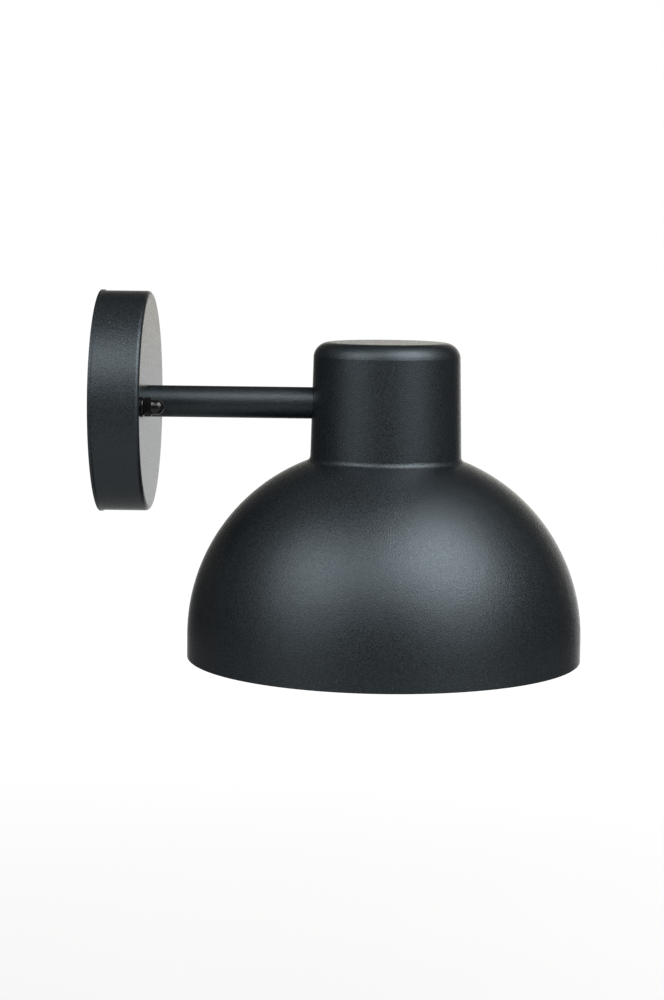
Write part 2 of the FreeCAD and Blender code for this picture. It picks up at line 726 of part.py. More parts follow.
def make_shade():
    """The spun bell: turned solid, hollowed by a groove, with even radii inside and out."""
    outer, outer_r, outer_z = bell_outline(0)
    inner, inner_r, inner_z = bell_outline(size.shade_sheet)
    shade = turned("shade", "z", *outer, at=(size.axis_from_wall, 0, 0))
    hollow = shade.newObject("PartDesign::Groove", "shade_hollow")
    hollow.Profile = outline(shade, "shade_inside", "XZ_Plane", *inner)
    hollow.ReferenceAxis = (hollow.Profile[0], ["V_Axis"])
    hollow.Angle = 360
    round_edges(shade, "neck_root_outside", size.neck_root_radius, outer_z, outer_r)
    round_edges(shade, "neck_root_inside", size.neck_root_radius + size.shade_sheet,
                inner_z, inner_r)
    round_edges(shade, "rim_outside", size.rim_radius, rim_z, shade_radius)
    round_edges(shade, "rim_inside", size.rim_radius, rim_z, shade_radius - size.shade_sheet)
    arm_hole = shade.newObject("PartDesign::Pocket", "arm_hole")
    circle = shade.newObject("Sketcher::SketchObject", "arm_hole_outline")
    plane = next(item for item in shade.Origin.OriginFeatures if item.Role == "YZ_Plane")
    circle.AttachmentSupport = [(plane, "")]
    circle.MapMode = "FlatFace"
    circle.addGeometry(Part.Circle(Vector(), Vector(0, 0, 1), nipple_hole.number), False)
    circle.addConstraint(Sketcher.Constraint("Coincident", 0, 3, -1, 1))
    index = circle.addConstraint(Sketcher.Constraint("Radius", 0, nipple_hole.number))
    circle.setExpression(f"Constraints[{index}]", nipple_hole.text)
    arm_hole.Profile = circle
    bind(arm_hole, "Length", neck_base_radius)
    shade.Tip = arm_hole
    return shade, outer_z


shade, neck_base_z = make_shade()
node(shade)


def neck_outside(height):
    """Radius of the neck at a height: it widens evenly from its top edge to the bell."""
    widening = (neck_base_radius - neck_top_radius) / (crown_z - neck_base_z)
    return neck_top_radius + widening * (crown_z - height)


# ------------------------------------------------------------------ arm and its threaded ends

arm_radius = size.arm_diameter / 2
arm_inside = arm_radius - size.arm_wall
bush_radius = arm_inside - size.bush_play
neck_face_x = size.axis_from_wall - neck_outside(0)
strap_top = size.holder_top + size.strap_sheet
neck_inside_at_strap = neck_outside(strap_top) - size.shade_sheet
half_strap = size.strap_width / 2
strap_back = (size.axis_from_wall + size.strap_seat_play
              - root(neck_inside_at_strap * neck_inside_at_strap - half_strap * half_strap))
strap_front = strap_back + size.strap_sheet


def make_arm():
    """A tube from the canopy's face, its far end coped to the neck."""
    start = (size.canopy_depth, 0, 0)
    length = size.axis_from_wall - size.canopy_depth
    tube = cylinder("arm_stock", start, arm_radius, length, "x")
    bore = cylinder("arm_bore", start, arm_inside, length, "x")
    neck = primitive("Cone", "arm_cope", (size.axis_from_wall, 0, neck_base_z),
                     Radius1=neck_base_radius, Radius2=neck_top_radius,
                     Height=crown_z - neck_base_z)
    return less("arm_tube", tube, bore, neck)


def tube(label, at, outer_radius, inner_radius, length, axis="x"):
    return less(label, cylinder(f"{label}_stock", at, outer_radius, length, axis),
                cylinder(f"{label}_bore", at, inner_radius, length, axis))


def tooth_washer(label, at):
    """A lock washer with notches cut evenly round its edge."""
    body = new_body(label, at)
    ring_radius = size.tooth_washer_diameter / 2
    ring = body.newObject("PartDesign::AdditiveCylinder", f"{label}_disc")
    ring.Placement = FreeCAD.Placement(Vector(), TURN["x"])
    bind(ring, "Radius", ring_radius)
    bind(ring, "Height", size.tooth_washer_sheet)
    hole = body.newObject("PartDesign::SubtractiveCylinder", f"{label}_hole")
    hole.Placement = FreeCAD.Placement(Vector(), TURN["x"])
    bind(hole, "Radius", nipple_hole)
    bind(hole, "Height", size.tooth_washer_sheet)
    notch = body.newObject("PartDesign::SubtractiveCylinder", f"{label}_notch")
    notch.Placement = FreeCAD.Placement(Vector(), TURN["x"])
    bind(notch, "Placement.Base.z", ring_radius)
    bind(notch, "Radius", size.tooth_depth / 2)
    bind(notch, "Height", size.tooth_washer_sheet)
    notches = body.newObject("PartDesign::PolarPattern", f"{label}_notches")
    notches.Originals = [notch]
    axis = next(item for item in body.Origin.OriginFeatures if item.Role == "X_Axis")
    notches.Axis = (axis, [""])
    notches.Angle = 360
    bind(notches, "Occurrences", size.tooth_count)
    body.Tip = notches
    return body


thread_hole = nipple_radius + size.thread_play
bore_radius = size.nipple_bore / 2
wall_washer_x = canopy_inside - size.tooth_washer_sheet
wall_nut_x = wall_washer_x - size.nut_height
wall_nipple_x = wall_nut_x - size.nipple_tail
shade_washer_x = strap_front
shade_nut_x = shade_washer_x + size.tooth_washer_sheet
shade_nipple_end = shade_nut_x + size.nut_height + size.nipple_tail
shade_nipple_x = neck_face_x - size.nipple_engagement

node(make_arm())
node(tube("wall_end_bush", (size.canopy_depth, 0, 0), bush_radius, thread_hole, size.bush_length))
node(tube("shade_end_bush", (neck_face_x - size.bush_setback - size.bush_length, 0, 0),
          bush_radius, thread_hole, size.bush_length))
node(tube("wall_nipple", (wall_nipple_x, 0, 0), nipple_radius, bore_radius,
          size.canopy_depth + size.nipple_engagement - wall_nipple_x))
node(tooth_washer("wall_tooth_washer", (wall_washer_x, 0, 0)))
node(nut("wall_nipple_nut", (wall_nut_x, 0, 0), size.nut_flats, size.nut_height, thread_hole, "x"))
node(tube("shade_nipple", (shade_nipple_x, 0, 0), nipple_radius, bore_radius,
          shade_nipple_end - shade_nipple_x))
node(tooth_washer("shade_tooth_washer", (shade_washer_x, 0, 0)))
node(nut("shade_nipple_nut", (shade_nut_x, 0, 0), size.nut_flats, size.nut_height,
         thread_hole, "x"))

# ------------------------------------------------------------------ holder strap and its tube

axis_x = size.axis_from_wall


def make_holder_bracket():
    """An L strap: its upright seats inside the neck, its round end carries the lampholder."""
    bend = size.strap_bend
    inner_bend = bend - size.strap_sheet
    bend_x = strap_back + bend
    bend_z = strap_top - bend
    angle = padded(
        "strap_angle", "XZ_Plane", size.strap_width,
        (strap_back, -size.strap_drop),
        (strap_front, -size.strap_drop),
        (strap_front, bend_z),
        arc((bend_x, bend_z), (bend_x, bend_z + inner_bend), "x", clockwise=True),
        (axis_x, size.holder_top),
        (axis_x, strap_top),
        (bend_x, strap_top),
        arc((bend_x, bend_z), (strap_back, bend_z), "y"),
    )
    eye = cylinder("strap_eye", (axis_x, 0, size.holder_top), half_strap, size.strap_sheet)
    holes = (
        cylinder("strap_arm_hole", (strap_back, 0, 0), nipple_hole, size.strap_sheet, "x"),
        cylinder("strap_holder_hole", (axis_x, 0, size.holder_top), nipple_hole,
                 size.strap_sheet),
        cylinder("strap_wire_opening", (axis_x - size.strap_wire_hole_offset, 0,
                                        size.holder_top),
                 size.strap_wire_hole / 2, size.strap_sheet),
    )
    return less("holder_bracket", fused("strap_solid", angle, eye), *holes)


holder_nipple_z = size.holder_top - size.holder_boss_depth
holder_nipple_top = strap_top + size.nut_height + size.nipple_tail
node(make_holder_bracket())
node(tube("holder_nipple", (axis_x, 0, holder_nipple_z), nipple_radius, bore_radius,
          holder_nipple_top - holder_nipple_z, "z"))
node(nut("holder_nut", (axis_x, 0, strap_top), size.nut_flats, size.nut_height, thread_hole, "z"))

# ------------------------------------------------------------------ lampholder

at_axis = (axis_x, 0, 0)
cap_radius = size.holder_cap_diameter / 2
cap_inside = cap_radius - size.holder_cap_wall
cap_rim_z = size.holder_top - size.holder_cap_height
mouth_z = size.holder_top - size.holder_length
base_top_z = cap_rim_z
base_under_z = base_top_z - size.base_thickness
post_top_z = base_top_z + size.post_height
post_half = size.post_width / 2
wire_radius = size.wire_diameter / 2


def make_holder_cap():
    """The domed upper half, threaded for the tube that it hangs on."""
    shoulder_r = cap_radius - size.holder_shoulder
    shoulder_z = size.holder_top - size.holder_shoulder
    return turned(
        "lampholder_cap", "z",
        (thread_hole, size.holder_top),
        (thread_hole, holder_nipple_z),
        (size.holder_ceiling_radius, holder_nipple_z),
        (cap_inside, size.holder_top - size.holder_shoulder_inside),
        (cap_inside, cap_rim_z),
        (cap_radius, cap_rim_z),
        (cap_radius, shoulder_z),
        arc((shoulder_r, shoulder_z), (shoulder_r, size.holder_top), "x"),
        at=at_axis,
    )


def make_holder_skirt():
    """The lower half: a neck inside the cap, a ledge for the base, and the open mouth."""
    neck_outer = cap_inside - size.skirt_neck_play
    seat_r = size.base_diameter / 2 + size.base_play
    mouth_bore = size.skirt_mouth_bore / 2
    mouth_r = size.skirt_mouth_diameter / 2
    ledge_bore = size.skirt_ledge_bore / 2
    neck_top_z = cap_rim_z + size.skirt_neck_rise
    ledge_under_z = base_under_z - size.skirt_ledge
    skirt = turned(
        "lampholder_skirt", "z",
        (seat_r, neck_top_z),
        (seat_r, base_under_z),
        (ledge_bore, base_under_z),
        (ledge_bore, ledge_under_z),
        (mouth_bore, ledge_under_z),
        (mouth_bore, mouth_z),
        (mouth_r, mouth_z),
        (size.skirt_diameter / 2, cap_rim_z),
        (neck_outer, cap_rim_z),
        (neck_outer, neck_top_z),
        at=at_axis,
    )
    round_edges(skirt, "mouth_edge", size.skirt_edge_radius, mouth_z, mouth_r)
    return skirt


def rivet(label, offset, play=0):
    radius = size.rivet_diameter / 2 + play
    return cylinder(label, (axis_x, offset, base_under_z), radius, size.base_thickness)


def make_contact_base():
    disc = cylinder("base_disc", (axis_x, 0, base_under_z), size.base_diameter / 2,
                    size.base_thickness)
    return less("contact_base", disc,
                rivet("centre_rivet_hole", -size.centre_rivet_offset, size.rivet_play),
                rivet("side_rivet_hole", size.side_rivet_offset, size.rivet_play))


def make_screw_shell():
    """The thin brass shell that the lamp screws into, hung by its inner flange."""
    inner = size.shell_bore / 2
    outer = inner + size.shell_sheet
    flange = size.shell_flange_bore / 2
    flange_under = base_under_z - size.shell_sheet
    lower = base_under_z - size.shell_length
    return turned(
        "screw_shell", "z",
        (flange, base_under_z),
        (flange, flange_under),
        (inner, flange_under),
        (inner, lower),
        (outer, lower),
        (outer, base_under_z),
        at=at_axis,
    )


def post(label, near, far, wire_y):
    """A brass terminal post on the base, bored for its wire and its screw."""
    body = block(f"{label}_bar", (axis_x - post_half, near, base_top_z), size.post_width,
                 far - near, size.post_height)
    wire_hole = cylinder(f"{label}_wire_hole", (axis_x, wire_y, post_top_z - size.post_wire_depth),
                         wire_radius + size.post_wire_play, size.post_wire_depth)
    thread = cylinder(f"{label}_thread", (axis_x, wire_y, base_top_z + size.post_height / 2),
                      size.post_screw_diameter / 2 + size.thread_play, post_half, "x")
    return less(label, body, wire_hole, thread)


tongue_z = base_under_z - size.tongue_drop


def make_centre_contact():
    """Live post, rivet and spring tongue; the tongue presses on the lamp's end contact."""
    under = base_under_z - size.tongue_sheet
    tongue = padded(
        "tongue", "YZ_Plane", size.tongue_width,
        (-size.tongue_root, base_under_z),
        (-size.tongue_root, under),
        (-size.tongue_bend, under),
        (-size.tongue_flat, tongue_z - size.tongue_sheet),
        (size.tongue_tip, tongue_z - size.tongue_sheet),
        (size.tongue_tip, tongue_z),
        (-size.tongue_flat + size.tongue_sheet, tongue_z),
        (-size.tongue_bend + size.tongue_sheet, base_under_z),
        at=at_axis,
    )
    live_post = post("centre_post", -size.centre_post_outer, -size.post_inner,
                     -size.post_wire_offset)
    return fused("centre_contact", live_post,
                 rivet("centre_rivet", -size.centre_rivet_offset), tongue)


def make_side_contact():
    neutral_post = post("side_post", size.post_inner, size.side_post_outer,
                        size.post_wire_offset)
    return fused("side_contact", neutral_post, rivet("side_rivet", size.side_rivet_offset))


def make_post_screw():
    y = -size.post_wire_offset
    height = base_top_z + size.post_height / 2
    tip = wire_radius + size.post_wire_play
    shank = cylinder("post_screw_shank", (axis_x + tip, y, height), size.post_screw_diameter / 2,
                     post_half - tip, "x")
    head = cylinder("post_screw_head", (axis_x + post_half, y, height), size.post_screw_head / 2,
                    size.post_screw_head_height, "x")
    return fused("post_screw", shank, head)


node(make_holder_cap())
node(make_holder_skirt())
node(make_contact_base())
node(make_screw_shell())
node(make_centre_contact())
node(make_side_contact())
pair("holder_terminal_screws", make_post_screw())

# ------------------------------------------------------------------ lamp

contact_top_z = tongue_z - size.tongue_sheet - size.contact_gap
contact_under_z = contact_top_z - size.bulb_contact_height
insulator_top_z = contact_under_z - size.contact_gap
cap_top_z = insulator_top_z - size.bulb_insulator_height
cap_end_z = cap_top_z - size.bulb_cap_length
bulb_cap_radius = size.bulb_cap_diameter / 2
contact_radius = size.bulb_contact_diameter / 2


def make_bulb_contact():
    dome = size.bulb_contact_height / 2
    return turned(
        "bulb_contact", "z",
        (0, contact_under_z),
        (contact_radius, contact_under_z),
        (contact_radius, contact_top_z - dome),
        arc((contact_radius - dome, contact_top_z - dome),
            (contact_radius - dome, contact_top_z), "x"),
        (0, contact_top_z),
        at=at_axis,
    )


def make_bulb_insulator():
    return turned(
        "bulb_insulator", "z",
        (0, cap_top_z),
        (size.bulb_insulator_diameter / 2, cap_top_z),
        (contact_radius, insulator_top_z),
        (0, insulator_top_z),
        at=at_axis,
    )


def make_bulb_cap():
    inner = bulb_cap_radius - size.bulb_cap_sheet
    flange = size.bulb_cap_flange_bore / 2
    flange_under = cap_top_z - size.bulb_cap_sheet
    return turned(
        "bulb_cap", "z",
        (flange, cap_top_z),
        (flange, flange_under),
        (inner, flange_under),
        (inner, cap_end_z),
        (bulb_cap_radius, cap_end_z),
        (bulb_cap_radius, cap_top_z),
        at=at_axis,
    )


def make_bulb_glass():
    """A blown envelope: ball, hollow flank and neck are arcs that run into each other."""
    ball = size.bulb_diameter / 2
    neck = bulb_cap_radius - size.bulb_cap_sheet - size.bulb_neck_play
    tip_z = contact_top_z - size.bulb_length
    ball_z = tip_z + ball
    neck_z = cap_end_z - size.bulb_neck_length
    rise = neck_z - ball_z
    flank = (rise * rise / (ball - neck) - ball - neck) / 2
    share = ball / (ball + flank)
    blend_r = (neck + flank) * share
    blend_z = ball_z + rise * share
    wall = size.bulb_glass_wall
    inner_share = (ball - wall) / (ball + flank)
    top_z = cap_end_z + size.bulb_neck_inset
    return turned(
        "bulb_glass", "z",
        (neck, top_z),
        (neck - wall, top_z),
        (neck - wall, neck_z),
        arc((neck + flank, neck_z),
            ((neck + flank) * inner_share, ball_z + rise * inner_share), "y"),
        arc((0, ball_z), (0, tip_z + wall), "x", clockwise=True),
        (0, tip_z),
        arc((0, ball_z), (blend_r, blend_z), "y"),
        arc((neck + flank, neck_z), (neck, neck_z), "y", clockwise=True),
        at=at_axis,
    )


node(make_bulb_contact())
node(make_bulb_insulator())
node(make_bulb_cap())
node(make_bulb_glass())

# ------------------------------------------------------------------ wires

BEND_SHARE = 0.45


def make_wire(label, route):
    """A round wire along straight runs joined by tangent arcs; prints its bend radii."""
    points = [Vector(*(plain(value) for value in point)) for point in route]
    edges = []
    radii = []
    start = points[0]
    for before, corner, after in zip(points, points[1:], points[2:]):
        arriving = (corner - before).normalize()
        leaving = (after - corner).normalize()
        half_turn = arriving.getAngle(leaving) / 2
        tangent = BEND_SHARE * min((corner - before).Length, (after - corner).Length)
        radius = tangent / math.tan(half_turn)
        arc_start = corner - arriving * tangent
        arc_end = corner + leaving * tangent
        to_centre = (leaving - arriving).normalize()
        middle = corner + to_centre * (radius / math.cos(half_turn) - radius)
        edges.append(Part.LineSegment(start, arc_start).toShape())
        edges.append(Part.Arc(arc_start, middle, arc_end).toShape())
        radii.append(round(radius, 1))
        start = arc_end
    edges.append(Part.LineSegment(start, points[-1]).toShape())
    path = Part.Wire(edges)
    first_run = points[1] - points[0]
    section = Part.Wire(Part.makeCircle(wire_radius.number, points[0], first_run))
    solid = path.makePipeShell([section], True, False)
    expected = math.pi * wire_radius.number ** 2 * path.Length
    print(f"{label}: length {path.Length:.1f}, radii {radii}, "
          f"volume {solid.Volume / expected:.4f} of section x length")
    item = doc.addObject("Part::Feature", label)
    item.Shape = solid
    return node(item)


def lamp_route(side, pole_y):
    """From a clamp of the block, through the arm, over the strap and down to a post.

    Between its seats the points are chosen by hand, in millimetres off what they pass.
    """
    y = size.wire_spacing / 2 * side
    post_y = size.post_wire_offset * side
    arm_middle = (wall_nipple_x + shade_nipple_end) / 2
    opening_x = axis_x - size.strap_wire_hole_offset
    return (
        (clamp_x, pole_y, block_middle - clamp_half),
        (clamp_x, pole_y, 1.8),
        (wall_nipple_x - 5.2, y * 0.7 + pole_y * 0.3, -3.5),
        (wall_nipple_x, y, 0),
        (wall_nipple_x + 25, y, -1.6),
        (arm_middle, y, -2.7),
        (shade_nipple_end - 25, y, -1.6),
        (shade_nipple_end - 8, y, -0.5),
        (shade_nipple_end + 5, y, 1),
        (opening_x - 3.9, y, size.holder_top - 6),
        (opening_x + 2, y, strap_top + 4.5),
        (opening_x + 6, y, strap_top + 10.5),
        (axis_x - 4, y, strap_top + 10.5),
        (axis_x, y, strap_top + 4.5),
        (axis_x, y, holder_nipple_z - 1),
        (axis_x, post_y, post_top_z + 2),
        (axis_x, post_y, post_top_z - size.post_wire_depth),
    )


def earth_route():
    """From the crimp barrel of the tag up into the third clamp of the block."""
    barrel_end = tag_barrel_y + size.tag_barrel_length / 2
    pole_y = -size.pole_pitch
    return (
        (tag_barrel_x, barrel_end, 0),
        (tag_barrel_x, pole_y - 3, 0),
        (clamp_x, pole_y, 5),
        (clamp_x, pole_y, block_middle - clamp_half),
    )


make_wire("live_wire", lamp_route(-1, 0))
make_wire("neutral_wire", lamp_route(1, size.pole_pitch))
make_wire("earth_wire", earth_route())

# ------------------------------------------------------------------ checks and files

doc.recompute()
failed = [item.Label for item in doc.Objects if {"Invalid", "Error"} & set(item.State)]
broken = [item.Label for item in nodes if item.Shape.isNull() or not item.Shape.isValid()]
if failed or broken:
    raise SystemExit(f"failed objects: {failed}; broken shapes: {broken}")

os.makedirs("parts", exist_ok=True)
for item in nodes:
    item.Shape.exportStep(f"parts/{item.Label}.step")
    print(f"{item.Label}: {len(item.Shape.Solids)} solid(s), {item.Shape.Volume:.1f} mm3")
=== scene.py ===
"""A wall light with a black bell shade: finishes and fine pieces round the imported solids.

Everything is in metres in the row frame: +X leaves the wall along the arm, +Z is up.
"""

import json
import math

import bmesh
import bpy
from mathutils import Matrix, Vector


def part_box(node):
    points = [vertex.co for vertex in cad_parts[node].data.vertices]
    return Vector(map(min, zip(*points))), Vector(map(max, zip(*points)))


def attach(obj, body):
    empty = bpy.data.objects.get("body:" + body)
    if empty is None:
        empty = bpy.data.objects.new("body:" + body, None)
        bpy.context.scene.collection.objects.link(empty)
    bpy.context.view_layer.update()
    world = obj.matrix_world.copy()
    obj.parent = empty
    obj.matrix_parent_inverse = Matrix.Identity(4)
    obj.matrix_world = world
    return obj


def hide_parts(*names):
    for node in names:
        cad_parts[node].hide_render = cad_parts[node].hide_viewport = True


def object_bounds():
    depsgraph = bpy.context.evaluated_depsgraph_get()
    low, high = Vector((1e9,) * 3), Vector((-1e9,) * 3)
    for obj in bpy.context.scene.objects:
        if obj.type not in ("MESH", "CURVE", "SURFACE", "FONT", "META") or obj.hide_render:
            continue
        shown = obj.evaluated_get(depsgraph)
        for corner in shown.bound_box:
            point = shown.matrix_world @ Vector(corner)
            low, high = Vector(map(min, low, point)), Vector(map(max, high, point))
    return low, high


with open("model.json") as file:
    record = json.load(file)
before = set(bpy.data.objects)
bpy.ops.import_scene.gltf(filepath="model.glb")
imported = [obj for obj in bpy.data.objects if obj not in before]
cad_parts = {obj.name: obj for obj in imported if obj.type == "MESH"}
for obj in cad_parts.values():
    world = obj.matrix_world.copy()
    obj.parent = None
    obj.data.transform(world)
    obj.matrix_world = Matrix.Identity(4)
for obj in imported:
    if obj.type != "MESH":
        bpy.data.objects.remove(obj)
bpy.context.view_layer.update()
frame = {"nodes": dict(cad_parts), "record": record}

MM = 0.001

# ------------------------------------------------------------------ camera

CAMERA_AT = Vector((156.0, -1171.6, 84.5)) * MM
CAMERA_YAW = math.radians(1.906)
CAMERA_PITCH = math.radians(-6.506)
CAMERA_ROLL = math.radians(0.594)
LENS_MM = 83.75
CAMERA_REACH = 40


def add_camera():
    """Stand where the photograph was taken: yaw turns left of +Y, pitch looks down."""
    ahead = Vector((-math.sin(CAMERA_YAW) * math.cos(CAMERA_PITCH),
                    math.cos(CAMERA_YAW) * math.cos(CAMERA_PITCH),
                    math.sin(CAMERA_PITCH)))
    level = Vector((math.cos(CAMERA_YAW), math.sin(CAMERA_YAW), 0))
    upward = level.cross(ahead)
    right = level * math.cos(CAMERA_ROLL) + upward * math.sin(CAMERA_ROLL)
    above = upward * math.cos(CAMERA_ROLL) - level * math.sin(CAMERA_ROLL)
    data = bpy.data.cameras.new("camera")
    data.lens = LENS_MM
    data.clip_end = CAMERA_REACH
    camera = bpy.data.objects.new("camera", data)
    bpy.context.scene.collection.objects.link(camera)
    camera.matrix_world = Matrix.Translation(CAMERA_AT) @ Matrix(
        (right, above, -ahead)).transposed().to_4x4()
    bpy.context.scene.camera = camera


add_camera()

# ------------------------------------------------------------------ light and surroundings

MIDDLE = Vector((130, 0, -45)) * MM
SOFTBOX_DISTANCE = 1.6
# Name, azimuth and elevation in degrees, width and height in metres, power in watts.
SOFTBOXES = (
    ("softbox_left", -49, 40, 1.1, 1.0, 12),
    ("softbox_right", 52, 48, 1.3, 1.4, 29),
    ("softbox_front", 4, 43, 0.9, 0.7, 4.0),
    ("low_left", -46, 6, 1.1, 0.8, 2.2),
    ("low_right", 44, 8, 1.1, 0.8, 2.2),
)


def add_softbox(name, azimuth, elevation, width, height, power):
    """An area light aimed at the object; a positive azimuth puts it right of the camera."""
    turn = math.radians(azimuth)
    tilt = math.radians(elevation)
    outward = Vector((math.sin(turn) * math.cos(tilt), -math.cos(turn) * math.cos(tilt),
                      math.sin(tilt)))
    data = bpy.data.lights.new(name, "AREA")
    data.shape = "RECTANGLE"
    data.size = width
    data.size_y = height
    data.energy = power
    light = bpy.data.objects.new(name, data)
    bpy.context.scene.collection.objects.link(light)
    light.location = MIDDLE + outward * SOFTBOX_DISTANCE
    light.rotation_euler = (-outward).to_track_quat("-Z", "Y").to_euler()


for softbox in SOFTBOXES:
    add_softbox(*softbox)

BEHIND = Vector((0.139, 0.985, -0.105))
BEHIND_FROM = 0.5
BEHIND_FALL = 9.0
BEHIND_GLOW = 0.85
ROOM_GLOW = 0.06
WARM = (1.0, 0.97, 0.89, 1)
WHITE = (1, 1, 1, 1)


def calculate(tree, operation, first, second):
    """One Math node; its inputs are sockets or plain numbers."""
    node = tree.nodes.new("ShaderNodeMath")
    node.operation = operation
    for socket, value in zip(node.inputs, (first, second)):
        if isinstance(value, float):
            socket.default_value = value
        else:
            tree.links.new(value, socket)
    return node.outputs[0]


def on_vector(tree, operation, vector):
    """One Vector Math node on the vector of a socket."""
    node = tree.nodes.new("ShaderNodeVectorMath")
    node.operation = operation
    tree.links.new(vector, node.inputs[0])
    return node


def looked_at(tree, rays):
    """1 for what the camera sees, straight or through glass, and 0 for other rays."""
    return calculate(tree, "MAXIMUM", rays["Is Camera Ray"], rays["Is Transmission Ray"])


def behind_glow(tree, towards):
    """How bright the surroundings look in a reflection: a soft glow behind the object."""
    along = on_vector(tree, "DOT_PRODUCT", towards)
    along.inputs[1].default_value = BEHIND
    ahead = tree.nodes.new("ShaderNodeMapRange")
    ahead.inputs["From Min"].default_value = BEHIND_FROM
    tree.links.new(along.outputs["Value"], ahead.inputs["Value"])
    faded = calculate(tree, "POWER", ahead.outputs[0], BEHIND_FALL)
    return calculate(tree, "MULTIPLY", faded, BEHIND_GLOW)


def add_world():
    """White to the eye; in reflections a little warm, dim but for the glow behind the object."""
    world = bpy.data.worlds.new("studio")
    bpy.context.scene.world = world
    world.use_nodes = True
    tree = world.node_tree
    tree.nodes.clear()
    rays = tree.nodes.new("ShaderNodeLightPath").outputs
    seen = looked_at(tree, rays)
    towards = tree.nodes.new("ShaderNodeTexCoord").outputs["Generated"]
    reflected = calculate(tree, "ADD", behind_glow(tree, towards), ROOM_GLOW)
    strength = calculate(tree, "MAXIMUM", seen, reflected)
    tone = tree.nodes.new("ShaderNodeMix")
    tone.data_type = "RGBA"
    tone.inputs["A"].default_value = WARM
    tone.inputs["B"].default_value = WHITE
    tree.links.new(seen, tone.inputs["Factor"])
    background = tree.nodes.new("ShaderNodeBackground")
    tree.links.new(tone.outputs["Result"], background.inputs["Color"])
    tree.links.new(strength, background.inputs["Strength"])
    output = tree.nodes.new("ShaderNodeOutputWorld")
    tree.links.new(background.outputs[0], output.inputs["Surface"])


add_world()

# ------------------------------------------------------------------ material helpers


class Finish:
    """A material with one Principled shader; constants go on the shader's own sockets."""

    def __init__(self, name, **settings):
        self.material = bpy.data.materials.new(name)
        self.material.use_nodes = True
        self.nodes = self.material.node_tree.nodes
        self.links = self.material.node_tree.links
        self.shader = self.nodes["Principled BSDF"]
        for socket, value in settings.items():
            label = socket.replace("_", " ").title().replace("Ior", "IOR")
            self.shader.inputs[label].default_value = value
        self.at = self.nodes.new("ShaderNodeTexCoord").outputs["Object"]

    def stretched(self, scale):
        mapping = self.nodes.new("ShaderNodeMapping")
        mapping.inputs["Scale"].default_value = scale
        self.links.new(self.at, mapping.inputs["Vector"])
        return mapping.outputs[0]

    def noise(self, scale, detail=2.0, roughness=0.5, at=None):
        texture = self.nodes.new("ShaderNodeTexNoise")
        texture.inputs["Scale"].default_value = scale
        texture.inputs["Detail"].default_value = detail
        texture.inputs["Roughness"].default_value = roughness
        self.links.new(at or self.at, texture.inputs["Vector"])
        return texture.outputs["Fac"]

    def cells(self, scale):
        texture = self.nodes.new("ShaderNodeTexVoronoi")
        texture.inputs["Scale"].default_value = scale
        self.links.new(self.at, texture.inputs["Vector"])
        return texture.outputs["Distance"]

    def spread(self, value, low, high, from_low=0.0, from_high=1.0):
        """Carry a pattern over to another range."""
        mapped = self.nodes.new("ShaderNodeMapRange")
        mapped.inputs["From Min"].default_value = from_low
        mapped.inputs["From Max"].default_value = from_high
        mapped.inputs["To Min"].default_value = low
        mapped.inputs["To Max"].default_value = high
        self.links.new(value, mapped.inputs["Value"])
        return mapped.outputs[0]

    def ramp(self, value, *stops):
        """Colours along a pattern: each stop is (place, colour)."""
        coloured = self.nodes.new("ShaderNodeValToRGB")
        elements = coloured.color_ramp.elements
        while len(elements) < len(stops):
            elements.new(1)
        for element, (position, colour) in zip(elements, stops):
            element.position = position
            element.color = (*colour, 1)
        self.links.new(value, coloured.inputs["Fac"])
        return coloured.outputs["Color"]

    def mixed(self, share, first, second):
        """One colour laid over another; each input is a socket or a plain value."""
        node = self.nodes.new("ShaderNodeMix")
        node.data_type = "RGBA"
        for label, value in (("Factor", share), ("A", first), ("B", second)):
            if isinstance(value, (float, tuple)):
                node.inputs[label].default_value = value
            else:
                self.links.new(value, node.inputs[label])
        return node.outputs["Result"]

    def use(self, socket, value):
        self.links.new(value, self.shader.inputs[socket])

    def two_tones(self, pattern, dark, light, low=0.3, high=0.7):
        """The base colour: dark where the pattern is low and light where it is high."""
        self.use("Base Color", self.ramp(pattern, (low, dark), (high, light)))

    def bump(self, height, distance, strength=1.0, under=None):
        node = self.nodes.new("ShaderNodeBump")
        node.inputs["Distance"].default_value = distance
        node.inputs["Strength"].default_value = strength
        self.links.new(height, node.inputs["Height"])
        if under:
            self.links.new(under, node.inputs["Normal"])
        self.use("Normal", node.outputs[0])
        return node.outputs[0]


# ------------------------------------------------------------------ finishes


def powder_coat():
    """Satin black powder coat: a fine grain, soft mottling and a few paler specks."""
    coat = Finish("black_powder_coat", ior=1.5, specular_ior_level=0.85,
                  specular_tint=(0.77, 0.91, 1.0, 1))
    mottle = coat.noise(45, 3)
    specks = coat.spread(coat.cells(170), 1.0, 0.0, 0.02, 0.05)
    flecks = coat.ramp(coat.noise(1100, 3, 0.7), (0.38, (0.001, 0.001, 0.002)),
                       (0.66, (0.016, 0.020, 0.024)))
    even = coat.ramp(mottle, (0.35, (0.004, 0.006, 0.008)), (0.65, (0.006, 0.008, 0.010)))
    shade = coat.mixed(0.7, even, flecks)
    coat.use("Base Color", coat.mixed(specks, shade, (0.11, 0.12, 0.12, 1)))
    facing = coat.nodes.new("ShaderNodeLayerWeight").outputs["Facing"]
    uneven = coat.spread(coat.noise(1000, 2, 0.7), -0.10, 0.10, 0.25, 0.75)
    coat.use("Roughness", calculate(coat.material.node_tree, "ADD",
                                    coat.spread(facing, 0.40, 0.09, 0.5, 0.9), uneven))
    grain = coat.bump(coat.noise(1300, 3, 0.6), 0.00025, 0.6)
    coat.bump(coat.noise(90, 2), 0.0003, 0.25, under=grain)
    return coat.material


